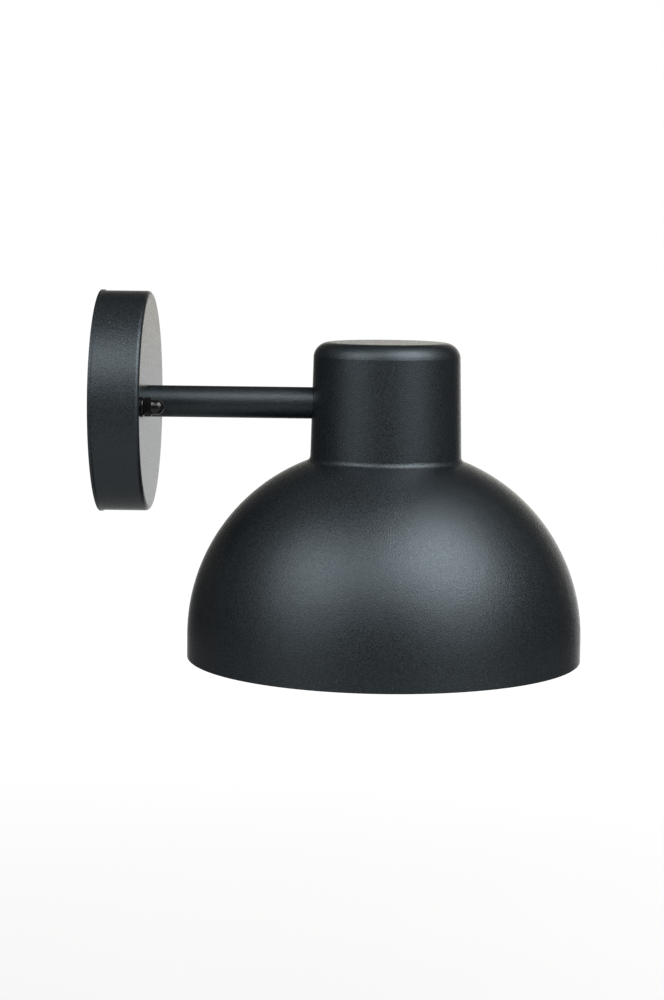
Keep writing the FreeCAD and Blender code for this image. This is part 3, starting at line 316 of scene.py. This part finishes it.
def black_lacquer():
    """Glossy black nuts and washers, with the faint waviness of dipped lacquer."""
    lacquer = Finish("black_lacquer", ior=1.5, specular_ior_level=0.5)
    lacquer.two_tones(lacquer.noise(400, 3), (0.004, 0.004, 0.005), (0.007, 0.007, 0.008))
    lacquer.use("Roughness", lacquer.spread(lacquer.noise(900), 0.10, 0.2))
    lacquer.bump(lacquer.noise(700), 0.00002, 0.5)
    return lacquer.material


def plated_metal(name, dark, light, low, high, scratches=(40, 900, 900)):
    """Metal with drawn streaks and a cloudy plating."""
    metal = Finish(name, metallic=1.0)
    metal.two_tones(metal.noise(180, 4), dark, light)
    streaks = metal.noise(1.0, 3, at=metal.stretched(scratches))
    metal.use("Roughness", metal.spread(streaks, low, high))
    metal.bump(streaks, 0.00002, 0.5)
    return metal.material


def moulded(name, dark, light, low, high, **settings):
    """Moulded plastic: a fine spark-eroded grain over an even colour."""
    plastic = Finish(name, ior=1.5, **settings)
    plastic.two_tones(plastic.noise(120, 3), dark, light)
    grain = plastic.noise(1500)
    plastic.use("Roughness", plastic.spread(grain, low, high))
    plastic.bump(grain, 0.00003, 0.5)
    return plastic.material


def glazed_ceramic():
    """Off-white glaze over fine pits."""
    ceramic = Finish("glazed_ceramic", ior=1.52, coat_weight=0.5, coat_roughness=0.08)
    ceramic.two_tones(ceramic.noise(250, 4), (0.70, 0.67, 0.60), (0.80, 0.78, 0.72), 0.25, 0.75)
    pits = ceramic.cells(1800)
    ceramic.use("Roughness", ceramic.spread(pits, 0.45, 0.22, 0, 0.5))
    ceramic.bump(pits, 0.00003, 0.4)
    return ceramic.material


def extruded(sleeve, scratches):
    """Fine marks along a wire under a soft sheen; gives back the finished material."""
    marks = sleeve.noise(1.0, 2, at=sleeve.stretched(scratches))
    sleeve.use("Roughness", sleeve.spread(marks, 0.32, 0.5))
    sleeve.bump(marks, 0.00002, 0.5)
    return sleeve.material


def insulation(name, dark, light):
    """Insulation of one colour for a wire that runs mostly along X."""
    sleeve = Finish(name, ior=1.5)
    sleeve.two_tones(sleeve.noise(300, 3), dark, light)
    return extruded(sleeve, (300, 2400, 2400))


def striped_insulation(middle_x):
    """Green insulation, yellow on the half that faces away from the wall."""
    sleeve = Finish("green_yellow_insulation", ior=1.5)
    split = sleeve.nodes.new("ShaderNodeSeparateXYZ")
    sleeve.links.new(sleeve.at, split.inputs["Vector"])
    across = sleeve.spread(split.outputs["X"], 0, 1, middle_x - 1 * MM, middle_x + 1 * MM)
    green, yellow = (0.03, 0.22, 0.05), (0.75, 0.60, 0.03)
    sleeve.use("Base Color", sleeve.ramp(across, (0.0, green), (0.5, green), (0.53, yellow),
                                         (1.0, yellow)))
    return extruded(sleeve, (2400, 300, 300))


def opal_glass():
    """White cased glass: milky inside, a clear gloss outside, slightly uneven."""
    glass = Finish("opal_glass", ior=1.5, subsurface_weight=0.6, subsurface_scale=0.004,
                   coat_weight=0.8, coat_roughness=0.03)
    glass.two_tones(glass.noise(40, 2), (0.80, 0.79, 0.76), (0.84, 0.83, 0.81))
    waves = glass.noise(60, 2)
    glass.use("Roughness", glass.spread(waves, 0.12, 0.2))
    glass.bump(waves, 0.0001, 0.3)
    return glass.material


def black_glass():
    """Black glass with faint darker and lighter swirls."""
    glass = Finish("black_vitrite", ior=1.55, coat_weight=0.7, coat_roughness=0.04)
    swirl = glass.noise(500, 4)
    glass.two_tones(swirl, (0.006, 0.005, 0.008), (0.020, 0.016, 0.024))
    glass.use("Roughness", glass.spread(swirl, 0.1, 0.22))
    glass.bump(swirl, 0.00003, 0.4)
    return glass.material


coat = powder_coat()
lacquer = black_lacquer()
zinc = plated_metal("zinc_plate", (0.50, 0.52, 0.54), (0.66, 0.67, 0.66), 0.24, 0.42)
brass = plated_metal("brass", (0.62, 0.42, 0.16), (0.78, 0.56, 0.25), 0.18, 0.36)
nickel = plated_metal("nickel_plate", (0.58, 0.55, 0.50), (0.70, 0.67, 0.61), 0.16, 0.3,
                      (900, 900, 60))
solder = plated_metal("solder", (0.42, 0.43, 0.44), (0.62, 0.62, 0.61), 0.3, 0.5,
                      (300, 300, 300))
white_plastic = moulded("white_moulding", (0.70, 0.69, 0.66), (0.78, 0.77, 0.74), 0.34, 0.48,
                        subsurface_weight=0.2, subsurface_scale=0.001)
black_moulding = moulded("black_moulding", (0.012, 0.012, 0.013), (0.020, 0.020, 0.021),
                         0.26, 0.4)
ceramic = glazed_ceramic()
opal = opal_glass()
vitrite = black_glass()


def dress(finish, *names):
    """Give carried-over solids a finish in their own material slot."""
    for name in names:
        frame["nodes"][name].material_slots[0].material = finish


dress(coat, "canopy", "arm_tube", "shade")
dress(zinc, "wall_end_bush", "shade_end_bush", "earth_tag")
dress(brass, "terminal_inserts", "centre_contact", "side_contact")
dress(ceramic, "contact_base")
dress(opal, "bulb_glass")
dress(vitrite, "bulb_insulator")
dress(solder, "bulb_contact")
dress(insulation("brown_insulation", (0.13, 0.045, 0.015), (0.19, 0.07, 0.025)), "live_wire")
dress(insulation("blue_insulation", (0.015, 0.10, 0.34), (0.025, 0.14, 0.43)), "neutral_wire")
earth_low, earth_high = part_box("earth_wire")
dress(striped_insulation((earth_low.x + earth_high.x) / 2), "earth_wire")

# ------------------------------------------------------------------ mesh helpers

SMOOTH_BELOW = math.radians(32)
PINHOLE = 0.01 * MM
PINHOLE_REACH = PINHOLE * 2.2
SIDES = (-1, 1)
# Rotations that carry a part turned about Z over to the named axis.
FRAMES = {
    "x": Matrix(((0, 0, 1), (1, 0, 0), (0, 1, 0))),
    "z": Matrix.Identity(3),
}


def as_piece(name, mesh, finish, body, *nodes):
    """Link a mesh, shade it smooth between its edges, and let it stand for CAD nodes."""
    mesh.materials.clear()
    mesh.materials.append(finish)
    mesh.shade_smooth()
    mesh.set_sharp_from_angle(angle=SMOOTH_BELOW)
    piece = bpy.data.objects.new(name, mesh)
    bpy.context.scene.collection.objects.link(piece)
    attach(piece, body)
    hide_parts(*nodes)
    return piece


def ring_faces(rings, sides):
    """Quads between rings of points; the last ring joins the first."""
    faces = []
    for ring in range(rings):
        after = (ring + 1) % rings
        for step in range(sides):
            beside = (step + 1) % sides
            faces.append((ring * sides + step, ring * sides + beside,
                          after * sides + beside, after * sides + step))
    return faces


def turned_rings(axis, start, profile, sides, reach=None):
    """Points and faces of a closed profile of (along, radius) turned about an axis.

    'reach' may hold a point's radius back, by its angle, its place along the axis and its radius.
    """
    points = []
    for along, radius in profile:
        for step in range(sides):
            angle = math.tau * step / sides
            held = reach(angle, along, radius) if reach else radius
            spoke = Vector((held * math.cos(angle), held * math.sin(angle), along))
            points.append(start + FRAMES[axis] @ spoke)
    return points, ring_faces(len(profile), sides)


def joined(name, *parts):
    """One mesh from several lists of points and faces, with its pinholes closed."""
    points = []
    faces = []
    for part_points, part_faces in parts:
        first = len(points)
        points.extend(part_points)
        faces.extend(tuple(first + index for index in face) for face in part_faces)
    mesh = bpy.data.meshes.new(name)
    mesh.from_pydata(points, [], faces)
    work = bmesh.new()
    work.from_mesh(mesh)
    bmesh.ops.remove_doubles(work, verts=work.verts, dist=PINHOLE_REACH)
    loose = [edge for edge in work.edges if edge.is_wire]
    bmesh.ops.delete(work, geom=loose, context="EDGES")
    bmesh.ops.recalc_face_normals(work, faces=work.faces)
    work.to_mesh(mesh)
    work.free()
    return mesh


def steps(low, high, step):
    """Evenly spaced places from low to high, both included."""
    count = max(1, round((high - low) / step))
    return [low + (high - low) * index / count for index in range(count + 1)]


# ------------------------------------------------------------------ nuts and washers

NUT_SIDES = 72
EASE = 0.25 * MM
ROLLED_EDGE = 0.35 * MM
CHAMFER_FOOT = 0.475
CHAMFER_SLOPE = math.tan(math.radians(30))
M5_BORE = 2.55 * MM
M5_WASHER_BORE = 2.75 * MM
M10_BORE = 5.05 * MM
DOME_NUT_HEXAGON = 4.0 * MM
DOME_NUT_HOLE = 7.5 * MM
DOME_RADIUS = 3.75 * MM
DOME_STEPS = 12
TEETH = 16
TOOTH_STEPS = 8
TOOTH_LENGTH = 1.6 * MM
TOOTH_WASHER_BORE = 5.3 * MM
NOTCH_FLOOR = 0.25 * MM


def chamfered(low, high, flats):
    """Outline of a hexagon whose corners are turned off at both its ends."""
    foot = CHAMFER_FOOT * flats
    drop = flats / math.sqrt(3) - foot
    rise = drop * CHAMFER_SLOPE
    shares = (0, 0.25, 0.5, 0.75, 1)
    return ([(low + rise * share, foot + drop * share) for share in shares]
            + [(high - rise * share, foot + drop * share) for share in reversed(shares)])


def bored(low, high, bore):
    """The way back through a hole whose two edges are eased."""
    return [(high, bore + EASE), (high - EASE, bore), (low + EASE, bore), (low, bore + EASE)]


def hexagon_part(axis, start, profile, flats, turn=0.0):
    """Turn an outline and cut six flats on its outside; turn is the angle of one of them."""
    sixth = math.pi / 3
    outside = CHAMFER_FOOT * flats * 0.999

    def reach(angle, along, radius):
        if radius <= outside:
            return radius
        off_flat = (angle - turn + sixth / 2) % sixth - sixth / 2
        return min(radius, flats / 2 / math.cos(off_flat))

    return turned_rings(axis, start, profile, NUT_SIDES, reach)


def nut_part(axis, start, low, high, flats, bore, turn=0.0):
    """A chamfered hexagon nut with an eased bore."""
    profile = chamfered(low, high, flats) + bored(low, high, bore)
    return hexagon_part(axis, start, profile, flats, turn)


def washer_part(start, low, high, outer, bore):
    """A flat ring across X with rolled edges."""
    soft = min((high - low) / 2, ROLLED_EDGE)
    edge = [(low, outer - soft), (low + soft * 0.3, outer - soft * 0.3), (low + soft, outer),
            (high - soft, outer), (high - soft * 0.3, outer - soft * 0.3), (high, outer - soft)]
    return turned_rings("x", start, edge + bored(low, high, bore), NUT_SIDES)


def dome_nut_part(start, seat, end, flats):
    """A chamfered hexagon, a short neck and a closed dome over a blind hole."""
    hexagon_top = seat + DOME_NUT_HEXAGON
    ball = end - DOME_RADIUS
    bottom = seat + DOME_NUT_HOLE
    profile = chamfered(seat, hexagon_top, flats)
    profile += [(hexagon_top + 0.05 * MM, DOME_RADIUS + 0.02 * MM), (ball, DOME_RADIUS)]
    for index in range(1, DOME_STEPS):
        lift = math.radians(90 * index / DOME_STEPS)
        profile.append((ball + DOME_RADIUS * math.sin(lift), DOME_RADIUS * math.cos(lift)))
    profile += [(end, PINHOLE), (bottom, PINHOLE), (bottom, M5_BORE), (seat + EASE, M5_BORE),
                (seat, M5_BORE + EASE)]
    return hexagon_part("x", start, profile, flats)


def add_cap_nuts():
    """The two dome nuts on the canopy's face, and their washers."""
    low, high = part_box("cap_nuts")
    flats = (high.z - low.z) * math.sqrt(3) / 2
    offset = high.y - flats / 2
    parts = [dome_nut_part(Vector((0, side * offset, 0)), low.x, high.x, flats)
             for side in SIDES]
    as_piece("dome_nuts", joined("dome_nuts", *parts), lacquer, "root", "cap_nuts")
    low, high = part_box("cap_nut_washers")
    offset = high.y - high.z
    parts = [washer_part(Vector((0, side * offset, 0)), low.x, high.x, high.z, M5_WASHER_BORE)
             for side in SIDES]
    as_piece("dome_nut_washers", joined("dome_nut_washers", *parts), lacquer, "root",
             "cap_nut_washers")


def add_hexagon_nuts():
    """The nuts that lock the studs, and those on the threaded tubes."""
    low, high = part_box("stud_lock_nuts")
    flats = (high.z - low.z) * math.sqrt(3) / 2
    offset = high.y - flats / 2
    parts = [nut_part("x", Vector((0, side * offset, 0)), low.x, high.x, flats, M5_BORE)
             for side in SIDES]
    as_piece("lock_nuts", joined("lock_nuts", *parts), zinc, "root", "stud_lock_nuts")
    for node in ("wall_nipple_nut", "shade_nipple_nut"):
        low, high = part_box(node)
        part = nut_part("x", Vector(), low.x, high.x, high.y - low.y, M10_BORE)
        as_piece(f"{node}_chamfered", joined(node, part), zinc, "root", node)
    low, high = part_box("holder_nut")
    middle = Vector(((low.x + high.x) / 2, 0, 0))
    part = nut_part("z", middle, low.z, high.z, high.y - low.y, M10_BORE, math.pi / 2)
    as_piece("holder_nut_chamfered", joined("holder_nut", part), zinc, "root", "holder_nut")


def add_tooth_washers():
    """Lock washers whose teeth are twisted out of the ring's plane."""
    sides = TEETH * TOOTH_STEPS
    for node in ("wall_tooth_washer", "shade_tooth_washer"):
        low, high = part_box(node)
        outer = high.y
        root = outer - TOOTH_LENGTH
        bore = TOOTH_WASHER_BORE
        middle = (low.x + high.x) / 2
        half = (high.x - low.x) / 2
        points = []
        rings = ((bore, -1), (root, -1), (outer, -1), (outer, 1), (root, 1), (bore, 1))
        for radius, face in rings:
            for step in range(sides):
                angle = math.tau * step / sides
                tooth_step = step % TOOTH_STEPS
                thick = 0.55 * half * face
                along = middle + thick
                held = radius
                if radius == outer:
                    held = outer if 1 <= tooth_step <= 5 else root + NOTCH_FLOOR
                    twist = half * 0.7 * (tooth_step / TOOTH_STEPS - 0.375)
                    along = middle + 0.4 * thick + twist
                points.append(Vector((along, held * math.cos(angle), held * math.sin(angle))))
        faces = ring_faces(len(rings), sides)
        as_piece(f"{node}_twisted", joined(node, (points, faces)), zinc, "root", node)


add_cap_nuts()
add_hexagon_nuts()
add_tooth_washers()

# ------------------------------------------------------------------ threaded rods and tubes

THREAD_SIDES = 40
THREAD_DEPTH = 0.61
M5_RADIUS = 2.5 * MM
M5_PITCH = 0.8 * MM
M10_PITCH = 1.0 * MM
STUD_HEAD = 3.0 * MM
NIPPLE_BORE = 3.5 * MM


def threaded_part(axis, start, low, high, radius, pitch, bore=0.0):
    """A rod or tube with a right-hand V thread that fades over one turn at each end."""
    depth = THREAD_DEPTH * pitch
    core = max(bore, PINHOLE)
    profile = [(low, radius - depth)]
    profile += [(along, radius) for along in steps(low + pitch / 2, high - pitch / 2, pitch / 6)]
    profile += [(high, radius - depth), (high, core), (low, core)]

    def reach(angle, along, held):
        if held != radius:
            return held
        place = (along / pitch - angle / math.tau) % 1
        nearest = min(along - low, high - along)
        faded = radius - depth * max(0.0, 1 - nearest / pitch)
        return min(faded, radius - depth * abs(2 * place - 1))

    return turned_rings(axis, start, profile, THREAD_SIDES, reach)


def add_studs():
    """The two canopy studs: low domed heads with threaded shanks."""
    low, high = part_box("canopy_studs")
    head_radius = high.z
    offset = high.y - head_radius
    head_end = low.x + STUD_HEAD
    head = [(low.x, PINHOLE), (low.x + 0.15 * MM, head_radius * 0.6),
            (low.x + 0.9 * MM, head_radius * 0.95), (low.x + 1.4 * MM, head_radius),
            (head_end - 0.2 * MM, head_radius), (head_end, head_radius - 0.2 * MM),
            (head_end, PINHOLE)]
    parts = []
    for side in SIDES:
        start = Vector((0, side * offset, 0))
        parts.append(threaded_part("x", start, head_end, high.x, M5_RADIUS, M5_PITCH))
        parts.append(turned_rings("x", start, head, THREAD_SIDES))
    as_piece("threaded_studs", joined("threaded_studs", *parts), zinc, "root", "canopy_studs")


def add_nipples():
    """The three hollow threaded tubes."""
    for node in ("wall_nipple", "shade_nipple"):
        low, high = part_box(node)
        part = threaded_part("x", Vector(), low.x, high.x, high.y, M10_PITCH, NIPPLE_BORE)
        as_piece(f"{node}_threaded", joined(node, part), zinc, "root", node)
    low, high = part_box("holder_nipple")
    middle = Vector(((low.x + high.x) / 2, 0, 0))
    part = threaded_part("z", middle, low.z, high.z, high.y, M10_PITCH, NIPPLE_BORE)
    as_piece("holder_nipple_threaded", joined("holder_nipple", part), zinc, "root",
             "holder_nipple")


add_studs()
add_nipples()

# ------------------------------------------------------------------ slotted screws

SHANK_RADIUS = 1.5 * MM
EARTH_SHANK_RADIUS = 2 * MM
CLAMP_HEAD_RADIUS = 1.9 * MM
HEAD_RIM = 0.3 * MM


def cutting_bar(middle, size, turn):
    """A plain bar that lies across a screw's head, turned about X."""
    deep, long, wide = size
    points = []
    for corner in range(8):
        off = Vector((deep * (0.5 if corner & 4 else -0.5), long * (0.5 if corner & 2 else -0.5),
                      wide * (0.5 if corner & 1 else -0.5)))
        points.append(middle + Matrix.Rotation(turn, 3, "X") @ off)
    mesh = bpy.data.meshes.new("cutting_bar")
    mesh.from_pydata(points, [], ((0, 1, 3, 2), (4, 6, 7, 5), (0, 4, 5, 1), (2, 3, 7, 6),
                                  (0, 2, 6, 4), (1, 5, 7, 3)))
    bar = bpy.data.objects.new("cutting_bar", mesh)
    bpy.context.scene.collection.objects.link(bar)
    return bar


def screw_part(start, low, seat, high, shank_radius, head_radius):
    """A shank and a cheese head with an eased rim, in one outline along X."""
    rim = HEAD_RIM
    profile = [(low, PINHOLE), (low, shank_radius - rim / 2), (low + rim, shank_radius),
               (seat, shank_radius), (seat, head_radius - rim / 3), (seat + rim / 3, head_radius),
               (high - rim, head_radius), (high - rim * 0.3, head_radius - rim * 0.3),
               (high, head_radius - rim), (high, PINHOLE)]
    return turned_rings("x", start, profile, THREAD_SIDES)


def add_screws(name, node, ends, head_height, radii, slot_size, places):
    """Screws of one node along X, with slots cut across their heads one bar after the other.

    'ends' are X of the tips and of the head faces, 'radii' those of shank and head. Each place
    is (Y, Z, turn of its first slot, turn of the next), in degrees.
    """
    tip, face = ends
    parts = []
    bars = []
    for y, z, *turns in places:
        start = Vector((0, y, z))
        parts.append(screw_part(start, tip, face - head_height, face, *radii))
        bars += [(start + Vector((face, 0, 0)), slot_size, math.radians(turn)) for turn in turns]
    piece = as_piece(name, joined(name, *parts), zinc, "root", node)
    bars = [cutting_bar(*bar) for bar in bars]
    for bar in bars:
        cut = piece.modifiers.new("slot", "BOOLEAN")
        cut.object = bar
        cut.operation = "DIFFERENCE"
        cut.solver = "EXACT"
    bpy.context.view_layer.update()
    shaped = bpy.data.meshes.new_from_object(
        piece.evaluated_get(bpy.context.evaluated_depsgraph_get()))
    piece.modifiers.clear()
    piece.data = shaped
    shaped.set_sharp_from_angle(angle=SMOOTH_BELOW)
    for bar in bars:
        bpy.data.objects.remove(bar)


def add_all_screws():
    """Clamp, block, earth and post screws, each turned its own way."""
    low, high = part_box("terminal_screws")
    head = CLAMP_HEAD_RADIUS
    rows = (low.z + head, high.z - head)
    places = [(column * (high.y - head), height, 35 * column + 50 * row + 20)
              for column in (-1, 0, 1) for row, height in enumerate(rows)]
    add_screws("clamp_screws", "terminal_screws", (low.x, high.x), 2 * MM, (SHANK_RADIUS, head),
               (1.6 * MM, 5 * MM, 0.7 * MM), places)
    low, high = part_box("terminal_block_screws")
    head = (high.z - low.z) / 2
    middle = (high.z + low.z) / 2
    places = [(side * (high.y - head), middle, 20 + 25 * side, 110 + 25 * side)
              for side in SIDES]
    add_screws("block_screws", "terminal_block_screws", (low.x, high.x), 2.5 * MM,
               (SHANK_RADIUS, head), (2 * MM, 3.4 * MM, 0.7 * MM), places)
    low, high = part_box("earth_screw")
    head = high.z
    add_screws("cross_earth_screw", "earth_screw", (low.x, high.x), 2.5 * MM,
               (EARTH_SHANK_RADIUS, head), (2 * MM, 5 * MM, 0.9 * MM),
               [(low.y + head, 0, 28, 118)])
    low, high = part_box("holder_terminal_screws")
    head = (high.z - low.z) / 2
    middle = (high.z + low.z) / 2
    places = [(side * (high.y - head), middle, 30 * side) for side in SIDES]
    add_screws("post_screws", "holder_terminal_screws", (low.x, high.x), 1.7 * MM,
               (SHANK_RADIUS, head), (1.6 * MM, 7 * MM, 0.8 * MM), places)


add_all_screws()

# ------------------------------------------------------------------ lampholder and lamp cap

RIBS = 36
RIB_DEPTH = 0.55 * MM
HOLDER_SHOULDER = 10 * MM
HOLDER_WALL = 2 * MM
SHOULDER_STEPS = 12
LAMP_SIDES = 64
LAMP_THREAD_DEPTH = 0.95 * MM
LAMP_THREAD_STEP = 0.3 * MM
LAMP_CAP_SHEET = 0.25 * MM
LAMP_CAP_MOUTH = 9 * MM
SHELL_PLAY = 0.25 * MM
SHELL_SHEET = 0.35 * MM
SHELL_FLANGE_BORE = 11.5 * MM


def add_lampholder():
    """The upper half of the lampholder: grip ribs, a domed shoulder and a bore for its tube."""
    low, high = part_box("lampholder_cap")
    middle = Vector(((low.x + high.x) / 2, 0, 0))
    radius = high.y
    shoulder = high.z - HOLDER_SHOULDER
    ribs_from = low.z + 2.1 * MM
    ribs_to = shoulder - 0.7 * MM
    profile = [(low.z, radius - HOLDER_WALL), (low.z, radius - 0.3 * MM),
               (low.z + 0.3 * MM, radius), (low.z + 1.9 * MM, radius), (low.z + 2.3 * MM, radius)]
    profile += [(along, radius) for along in steps(low.z + 2.8 * MM, shoulder - 1 * MM, MM)]
    profile.append((shoulder - 0.4 * MM, radius))
    for index in range(SHOULDER_STEPS + 1):
        lift = math.radians(90 * index / SHOULDER_STEPS)
        profile.append((shoulder + HOLDER_SHOULDER * math.sin(lift),
                        radius - HOLDER_SHOULDER + HOLDER_SHOULDER * math.cos(lift)))
    profile += [(high.z, M10_BORE + 0.3 * MM), (high.z - 0.3 * MM, M10_BORE),
                (high.z - 6.5 * MM, M10_BORE), (high.z - 6.5 * MM, 14.5 * MM),
                (high.z - 12 * MM, radius - HOLDER_WALL)]

    def reach(angle, along, held):
        if held != radius or not ribs_from < along < ribs_to:
            return held
        wave = 0.5 - 0.5 * math.cos(RIBS * angle)
        return radius - RIB_DEPTH * wave * wave

    part = turned_rings("z", middle, profile, RIBS * 8, reach)
    as_piece("ribbed_holder_cap", joined("holder_cap", part), black_moulding, "root",
             "lampholder_cap")


def rolled_thread(top, bottom, fade):
    """How deep the lamp's rolled thread is at an angle and a height; it fades at both ends."""
    pitch = frame["record"]["behaviour"]["couplings"][0]["ratio"] * math.tau

    def dip(angle, along):
        place = (along / pitch - angle / math.tau) % 1
        strength = min(1.0, max(0.0, (top - along) / fade), max(0.0, (along - bottom) / fade))
        return LAMP_THREAD_DEPTH * strength * (0.5 - 0.5 * math.cos(math.tau * place))

    return dip


def add_lamp_thread():
    """The lamp's cap and the shell that it turns in, their rolled threads in step."""
    low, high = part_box("bulb_cap")
    middle = Vector(((low.x + high.x) / 2, 0, 0))
    radius = high.y
    sheet = LAMP_CAP_SHEET
    dip = rolled_thread(high.z - 1.2 * MM, low.z + 5 * MM, 1.5 * MM)
    run = steps(low.z, high.z - 1.6 * MM, LAMP_THREAD_STEP)
    shoulder = [(high.z - 0.9 * MM, radius - 0.35 * MM), (high.z - 0.3 * MM, radius - 0.9 * MM),
                (high.z, radius - 1.45 * MM)]
    profile = [(along, radius) for along in run] + shoulder
    profile += [(high.z, LAMP_CAP_MOUTH), (high.z - sheet, LAMP_CAP_MOUTH)]
    profile += [(along, held - sheet) for along, held in reversed(shoulder[:-1])]
    profile += [(along, radius - sheet) for along in reversed(run)]

    def cap_reach(angle, along, held):
        return held - dip(angle, along) if held >= radius - sheet * 1.01 else held

    part = turned_rings("z", middle, profile, LAMP_SIDES, cap_reach)
    as_piece("threaded_lamp_cap", joined("lamp_cap", part), nickel, "bulb", "bulb_cap")

    low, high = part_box("screw_shell")
    inner = radius + SHELL_PLAY
    outer = inner + SHELL_SHEET
    shell_dip = rolled_thread(high.z - 1.5 * MM, low.z + 0.5 * MM, 1.2 * MM)
    run = steps(low.z, high.z - 0.5 * MM, LAMP_THREAD_STEP)
    profile = [(along, outer) for along in run]
    profile += [(high.z, outer), (high.z, SHELL_FLANGE_BORE),
                (high.z - 0.5 * MM, SHELL_FLANGE_BORE)]
    profile += [(along, inner) for along in reversed(run)]

    def shell_reach(angle, along, held):
        return held - shell_dip(angle, along) if held >= inner * 0.999 else held

    part = turned_rings("z", middle, profile, LAMP_SIDES, shell_reach)
    as_piece("threaded_screw_shell", joined("screw_shell", part), brass, "root", "screw_shell")


add_lampholder()
add_lamp_thread()

# ------------------------------------------------------------------ pressed and moulded edges

MERGED_WITHIN = 1e-6
FLAT_WITHIN = math.radians(0.5)
SHARP_ABOVE = math.radians(50)
FLAT_ABOVE = 10 * MM * MM


def eased(name, node, finish, width):
    """The solid of a node with its sharp edges rolled over and its broad faces flat."""
    work = bmesh.new()
    work.from_mesh(frame["nodes"][node].data)
    bmesh.ops.remove_doubles(work, verts=work.verts, dist=MERGED_WITHIN)
    bmesh.ops.dissolve_limit(work, angle_limit=FLAT_WITHIN, verts=work.verts,
                             edges=work.edges)
    edges = [edge for edge in work.edges
             if edge.is_manifold and edge.calc_face_angle(0) > SHARP_ABOVE]
    bmesh.ops.bevel(work, geom=edges, offset=width, segments=2, profile=0.5, affect="EDGES",
                    clamp_overlap=True)
    mesh = bpy.data.meshes.new(name)
    work.to_mesh(mesh)
    work.free()
    as_piece(name, mesh, finish, "root", node)
    for face in mesh.polygons:
        if face.area > FLAT_ABOVE:
            face.use_smooth = False


eased("pressed_wall_bracket", "wall_bracket", zinc, 0.2 * MM)
eased("pressed_holder_bracket", "holder_bracket", zinc, 0.2 * MM)
eased("moulded_terminal_block", "terminal_block", white_plastic, 0.15 * MM)
dress(black_moulding, "lampholder_skirt")

# ------------------------------------------------------------------ floor

FLOOR_DROP = 0.42
FLOOR_HALF = 12.0
FLOOR_GREY = 0.42
FLOOR_NEAR_GLOW = 0.60
FLOOR_GLOW_RISES = (0.5, 2.2)


def add_floor():
    """A pale floor, seen from above only, that keeps the shadow and runs out to plain white."""
    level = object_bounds()[0][2] - FLOOR_DROP
    mesh = bpy.data.meshes.new("floor")
    corners = ((-1, -1), (1, -1), (1, 1), (-1, 1))
    mesh.from_pydata([(x * FLOOR_HALF, y * FLOOR_HALF, level) for x, y in corners], [],
                     [(0, 1, 2, 3)])
    floor = bpy.data.objects.new("floor", mesh)
    bpy.context.scene.collection.objects.link(floor)
    pale = Finish("pale_floor", roughness=0.9, specular_ior_level=0.0)
    low, high = 0.98 * FLOOR_GREY, 1.02 * FLOOR_GREY
    pale.two_tones(pale.noise(3, 2), (low, low, low), (high, high, high))
    tree = pale.material.node_tree
    rays = pale.nodes.new("ShaderNodeLightPath").outputs
    away = on_vector(tree, "LENGTH", pale.at).outputs["Value"]
    lifted = calculate(tree, "MULTIPLY", pale.spread(away, FLOOR_NEAR_GLOW, 1.0, *FLOOR_GLOW_RISES),
                       looked_at(tree, rays))
    towards = on_vector(tree, "NORMALIZE", pale.at).outputs[0]
    mirrored = calculate(tree, "MULTIPLY", behind_glow(tree, towards), rays["Is Glossy Ray"])
    white = pale.nodes.new("ShaderNodeEmission")
    pale.links.new(calculate(tree, "MAXIMUM", lifted, mirrored), white.inputs["Strength"])
    lit = pale.nodes.new("ShaderNodeAddShader")
    pale.links.new(pale.shader.outputs[0], lit.inputs[0])
    pale.links.new(white.outputs[0], lit.inputs[1])
    from_below = pale.nodes.new("ShaderNodeMixShader")
    pale.links.new(pale.nodes.new("ShaderNodeNewGeometry").outputs["Backfacing"],
                   from_below.inputs["Fac"])
    pale.links.new(lit.outputs[0], from_below.inputs[1])
    pale.links.new(pale.nodes.new("ShaderNodeBsdfTransparent").outputs[0], from_below.inputs[2])
    pale.links.new(from_below.outputs[0], pale.nodes["Material Output"].inputs["Surface"])
    mesh.materials.append(pale.material)


add_floor()

bpy.context.scene.view_settings.view_transform = "Standard"
